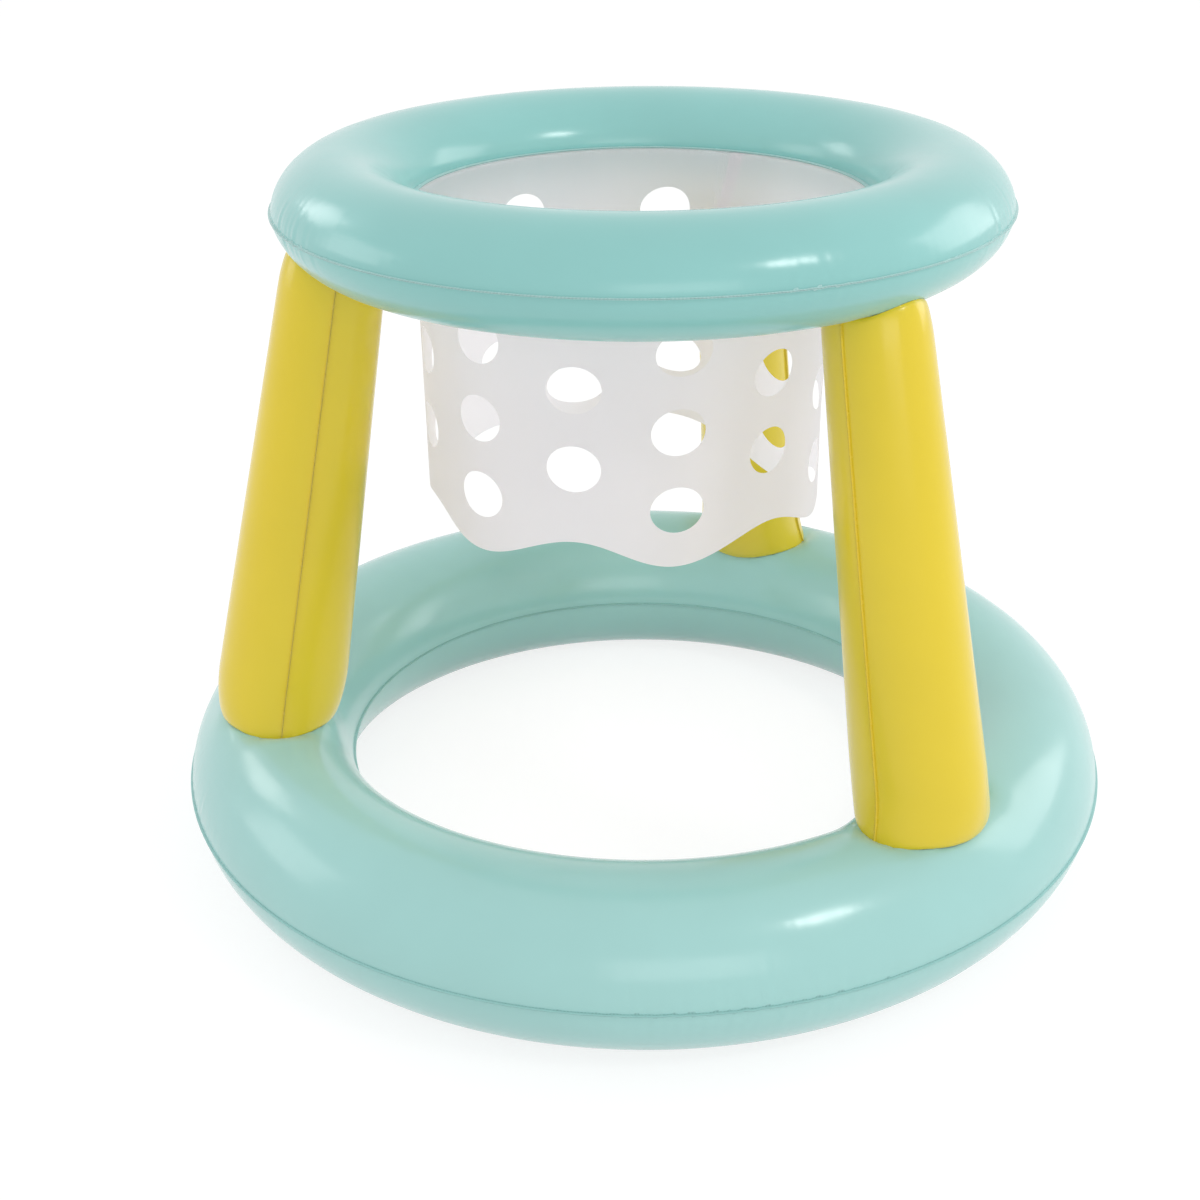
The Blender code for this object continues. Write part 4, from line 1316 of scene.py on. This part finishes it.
def net_vinyl(rgb, roughness, pitch):
    """Milky vinyl sheet that lets a little light through, with ribbed welds at its hem and lap."""
    nodes = Nodes("net_milky_vinyl")
    band = nodes.spread(nodes.attribute("weld_distance"), 0.0045, 0.0060, 1, 0)
    ribs = nodes.maths("MULTIPLY", ring_ribs(pitch, NET_WELD_RADIUS)(nodes), band)
    shade = nodes.mix(nodes.mottle(14.0, 3.0), opaque(rgb, 0.985), opaque(rgb, 1.01))
    shade = nodes.mix(nodes.maths("MULTIPLY", band, 0.35), shade, opaque(rgb, 1.05))
    rough = nodes.mottle(45.0, 3.0, roughness - 0.05, roughness + 0.05)
    relief = nodes.bumps((nodes.noise(22.0, 2.0), 0.25, 0.0006),
                         (nodes.noise(900.0, 2.0), 0.15, 0.00003),
                         (ribs, 0.4, 0.0002))
    nodes.feed_shader({"Base Color": shade, "Roughness": rough, "Normal": relief, "IOR": 1.45})
    glow = nodes.add("ShaderNodeBsdfTranslucent")
    nodes.feed(glow.inputs["Color"], opaque(rgb, 1.05))
    nodes.link(relief, glow.inputs["Normal"])
    nodes.show(nodes.mix_surfaces(0.70, nodes.shader, glow))
    return nodes.material


def valve_vinyl(rgb):
    """Soft moulded vinyl of the valves: satin, slightly cloudy, with mould grain."""
    nodes = Nodes("valve_clear_vinyl")
    shade = nodes.mix(nodes.mottle(180.0, 3.0), opaque(rgb, 0.94), opaque(rgb, 1.03))
    rough = nodes.mottle(400.0, 2.0, 0.26, 0.36)
    relief = nodes.bumps((nodes.noise(1500.0, 2.0), 0.2, 0.00003))
    nodes.feed_shader({"Base Color": shade, "Roughness": rough, "Normal": relief, "IOR": 1.5,
                       "Transmission Weight": 0.25})
    return nodes.material


# Stage


def seen_ray(tree):
    """1 for a ray that shows the background: from the camera, a reflection or glass."""
    path = tree.nodes.new("ShaderNodeLightPath")
    seen = path.outputs["Is Camera Ray"]
    for kind in ("Is Glossy Ray", "Is Transmission Ray"):
        either = tree.nodes.new("ShaderNodeMath")
        either.operation = "MAXIMUM"
        tree.links.new(seen, either.inputs[0])
        tree.links.new(path.outputs[kind], either.inputs[1])
        seen = either.outputs[0]
    return seen


def floor_material():
    """White floor that keeps a share of the shadow; it lights the object as a plain pale floor."""
    nodes = Nodes("studio_floor")
    shade = nodes.mix(nodes.mottle(3.0, 2.0), grey(0.87), grey(0.89))
    nodes.feed_shader({"Base Color": shade, "Roughness": 1.0, "Specular IOR Level": 0.0})
    lit = nodes.add("ShaderNodeBsdfDiffuse")
    lit.inputs["Color"].default_value = grey(0.26)
    white = nodes.add("ShaderNodeEmission")
    white.inputs["Color"].default_value = grey(1)
    white.inputs["Strength"].default_value = 0.80
    both = nodes.add("ShaderNodeAddShader")
    nodes.link(lit.outputs[0], both.inputs[0])
    nodes.link(white.outputs[0], both.inputs[1])
    nodes.show(nodes.mix_surfaces(seen_ray(nodes.tree), nodes.shader, both))
    return nodes.material


def set_world(room_light):
    """Even white light from all round; the background itself is white."""
    world = bpy.data.worlds.new("studio_room")
    world.use_nodes = True
    tree = world.node_tree
    background = tree.nodes["Background"]
    background.inputs["Color"].default_value = grey(1)
    strength = tree.nodes.new("ShaderNodeMapRange")
    strength.inputs["To Min"].default_value = room_light
    strength.inputs["To Max"].default_value = 1.0
    tree.links.new(seen_ray(tree), strength.inputs["Value"])
    tree.links.new(strength.outputs["Result"], background.inputs["Strength"])
    bpy.context.scene.world = world


# Softboxes: name, degrees from the camera's side towards the right, degrees above the floor,
# distance, width, height and radiance
SOFTBOXES = (
    ("key_softbox", 50, 43, 4.0, 0.80, 0.52, 16.9),
    ("left_back_softbox", -123, 28, 3.4, 0.95, 0.80, 3.2),
    ("right_screen", 110, 20, 3.4, 2.00, 1.60, 2.2),
    ("left_screen", -92, 18, 3.6, 1.60, 1.40, 1.6),
    ("front_screen", 10, 16, 4.0, 2.40, 1.40, 1.5),
)


def add_softbox(name, azimuth, elevation, distance, width, height, radiance, strength):
    turn, tilt = math.radians(azimuth), math.radians(elevation)
    aim = Vector((0, 0, LAMP_AIM_HEIGHT))
    level = math.cos(tilt)
    away = Vector((math.sin(turn) * level, -math.cos(turn) * level, math.sin(tilt)))
    clear_selection()
    bpy.ops.object.light_add(type="AREA", location=aim + away * distance)
    lamp = bpy.context.object
    lamp.name = name
    lamp.data.name = name
    lamp.data.shape = "RECTANGLE"
    lamp.data.size = width
    lamp.data.size_y = height
    lamp.data.energy = radiance * math.pi * width * height * strength
    lamp.rotation_euler = away.to_track_quat("Z", "Y").to_euler()


def add_camera(stage):
    """Stand the camera where the photograph was taken from."""
    yaw, pitch, roll = stage.camera_yaw, stage.camera_pitch, stage.camera_roll
    rise = stage.camera_rise
    place = Vector((0, -math.cos(rise), math.sin(rise))) * stage.camera_distance
    level = math.cos(pitch)
    ahead = Vector((math.sin(yaw) * level, math.cos(yaw) * level, -math.sin(pitch)))
    right = Vector((math.cos(yaw), -math.sin(yaw), 0))
    up = right.cross(ahead)
    tipped_right = right * math.cos(roll) + up * math.sin(roll)
    tipped_up = up * math.cos(roll) - right * math.sin(roll)
    aim = Matrix((tipped_right, tipped_up, -ahead)).transposed().to_4x4()
    clear_selection()
    bpy.ops.object.camera_add(location=place)
    camera = bpy.context.object
    camera.name = "photo_camera"
    camera.matrix_world = Matrix.Translation(place) @ aim
    camera.data.sensor_width = 36
    camera.data.lens = stage.lens
    camera.data.clip_start = 0.01
    camera.data.clip_end = 200
    bpy.context.scene.camera = camera


# Operators


class POOLHOOP_OT_base_ring(bpy.types.Operator):
    """Build the upper and lower skins of the base ring"""
    bl_idname = "pool_hoop.base_ring"
    bl_label = "Base Ring"

    def execute(self, context):
        # The base ring's paler mint is painted light, not a different vinyl
        scene = context.scene
        # Base seams: a faint painted highlight on the lip and deep painted shade in the crease
        build_ring(scene, "base", base_ring(scene.pool_hoop_rings), scene.pool_hoop_finish.base_mint_with_painted_light,
                   SeamLook(lip_paleness=0.03, crease_shade=0.60, lip_edge=0),
                   upper={"seat": foot_seat(scene.pool_hoop_legs)}, lower={"floor": 0})
        return {"FINISHED"}


class POOLHOOP_OT_hoop_ring(bpy.types.Operator):
    """Build the upper and lower skins of the hoop ring"""
    bl_idname = "pool_hoop.hoop_ring"
    bl_label = "Hoop Ring"

    def execute(self, context):
        scene = context.scene
        ring = hoop_ring(scene.pool_hoop_rings)
        # Hoop seams: a strong painted highlight on the lip and light painted shade in the crease
        build_ring(scene, "hoop", ring, scene.pool_hoop_finish.hoop_mint,
                   SeamLook(lip_paleness=0.30, crease_shade=0.84, lip_edge=0.0004),
                   upper={}, lower={"seat": head_seat(scene.pool_hoop_legs, ring)})
        return {"FINISHED"}


class POOLHOOP_OT_legs(bpy.types.Operator):
    """Build the three legs: each has an outer and an inner skin, and a disc at both ends"""
    bl_idname = "pool_hoop.legs"
    bl_label = "Legs"

    def execute(self, context):
        finish = context.scene.pool_hoop_finish
        shape = LegShape(context.scene.pool_hoop_legs, context.scene.pool_hoop_rings)
        # Leg seams: a faint painted highlight on the lips and barely any painted shade in the creases
        material = vinyl("yellow_vinyl_legs", finish.yellow, finish.leg_roughness,
                         height_ribs(finish.weld_pitch),
                         SeamLook(lip_paleness=0.05, crease_shade=0.95, lip_edge=0), LEG_VEIL)
        models = {
            "outer_panel": leg_half("leg_outer_model", shape, 1),
            "inner_panel": leg_half("leg_inner_model", shape, -1),
            "foot_disc": leg_disc("leg_foot_model", shape, False),
            "head_disc": leg_disc("leg_head_model", shape, True),
        }
        for side, angle in LEG_ANGLES.items():
            for part, model in models.items():
                name = f"{side}_leg_{part.replace('panel', 'skin')}_dressed"
                skin = turned_copy(model, name, angle)
                if part == "inner_panel":
                    cut_port(skin, f"{side}_leg_valve")
                smooth(skin)
                finish_piece(skin, material, BODY, f"{side}_leg_{part}")
        throw_away(*models.values())
        return {"FINISHED"}


class POOLHOOP_OT_net(bpy.types.Operator):
    """Build the punched net and hang it from the hoop's inner lip"""
    bl_idname = "pool_hoop.net"
    bl_label = "Net"

    def execute(self, context):
        finish = context.scene.pool_hoop_finish
        shape = NetShape(context.scene.pool_hoop_net, context.scene.pool_hoop_rings)
        net = net_strip("net_strip", shape)
        store(net, "weld_distance", net_weld_distance(net, shape))
        smooth(net)
        material = net_vinyl(finish.white, finish.net_roughness, finish.weld_pitch)
        finish_piece(net, material, BODY, "net_skirt")
        return {"FINISHED"}


class POOLHOOP_OT_valves(bpy.types.Operator):
    """Build the five inflation valves: patch, stem, plug and non-return flap"""
    bl_idname = "pool_hoop.valves"
    bl_label = "Valves"

    def execute(self, context):
        rings = context.scene.pool_hoop_rings
        finish = context.scene.pool_hoop_finish
        leg_shape = LegShape(context.scene.pool_hoop_legs, rings)
        material = valve_vinyl(finish.clear)
        depth = rings.skin + rings.gap
        bends = {"base_valve": ring_wall_point(base_ring(rings), rings, depth),
                 "hoop_valve": ring_wall_point(hoop_ring(rings), rings, depth)}
        for side, angle in LEG_ANGLES.items():
            bends[f"{side}_leg_valve"] = leg_wall_point(leg_shape, angle, depth)
        models = {"stem": stem_piece(), "plug": plug_piece(), "flap": flap_piece()}
        heights = {"stem": 0, "plug": HINGE_HEIGHT, "flap": STEM_BOTTOM - VALVE_GAP}
        for valve in VALVES:
            patch = patch_piece(f"{valve}_patch_dressed", valve, bends[valve])
            finish_piece(patch, material, BODY, f"{valve}_patch")
            for part, model in models.items():
                piece = copy_of(model, f"{valve}_{part}_dressed")
                place_in(piece, valve_matrix(valve) @ Matrix.Translation((0, 0, heights[part])))
                body = f"{valve.replace('_', ' ')} {part}"
                finish_piece(piece, material, body, f"{valve}_{part}")
        throw_away(*models.values())
        return {"FINISHED"}


class POOLHOOP_OT_stage(bpy.types.Operator):
    """Build the floor, the light and the camera"""
    bl_idname = "pool_hoop.stage"
    bl_label = "Stage"

    def execute(self, context):
        stage = context.scene.pool_hoop_stage
        clear_selection()
        bpy.ops.mesh.primitive_plane_add(size=stage.floor_size, location=(0, 0, -0.0002))
        floor = take_new("studio_floor")
        floor.data.materials.append(floor_material())
        set_world(stage.room_light)
        for softbox in SOFTBOXES:
            add_softbox(*softbox, stage.lamp_light)
        add_camera(stage)
        context.scene.view_settings.view_transform = "Standard"
        return {"FINISHED"}


class POOLHOOP_PT_sidebar(bpy.types.Panel):
    """The build steps in order, with the sizes and colours that they read"""
    bl_idname = "POOLHOOP_PT_sidebar"
    bl_label = "Pool Hoop"
    bl_space_type = "VIEW_3D"
    bl_region_type = "UI"
    bl_category = "Pool Hoop"

    def draw(self, context):
        layout = self.layout
        for group in GROUPS:
            settings = getattr(context.scene, group)
            box = layout.box()
            for key in settings.__annotations__:
                box.prop(settings, key)
        for step in STEPS:
            layout.operator(step.bl_idname)


GROUPS = {
    "pool_hoop_rings": POOLHOOP_PG_rings,
    "pool_hoop_legs": POOLHOOP_PG_legs,
    "pool_hoop_net": POOLHOOP_PG_net,
    "pool_hoop_finish": POOLHOOP_PG_finish,
    "pool_hoop_stage": POOLHOOP_PG_stage,
}
STEPS = (POOLHOOP_OT_base_ring, POOLHOOP_OT_hoop_ring, POOLHOOP_OT_legs, POOLHOOP_OT_net,
         POOLHOOP_OT_valves, POOLHOOP_OT_stage)


def register():
    for group in GROUPS.values():
        bpy.utils.register_class(group)
    for key, group in GROUPS.items():
        setattr(bpy.types.Scene, key, PointerProperty(type=group))
    for step in STEPS:
        bpy.utils.register_class(step)
    bpy.utils.register_class(POOLHOOP_PT_sidebar)


def unregister():
    bpy.utils.unregister_class(POOLHOOP_PT_sidebar)
    for step in reversed(STEPS):
        bpy.utils.unregister_class(step)
    for key in GROUPS:
        delattr(bpy.types.Scene, key)
    for group in reversed(list(GROUPS.values())):
        bpy.utils.unregister_class(group)


def main():
    """Build every piece and the stage."""
    register()
    bpy.ops.pool_hoop.base_ring()
    bpy.ops.pool_hoop.hoop_ring()
    bpy.ops.pool_hoop.legs()
    bpy.ops.pool_hoop.net()
    bpy.ops.pool_hoop.valves()
    bpy.ops.pool_hoop.stage()
    clear_selection()


if __name__ == "__main__":
    main()
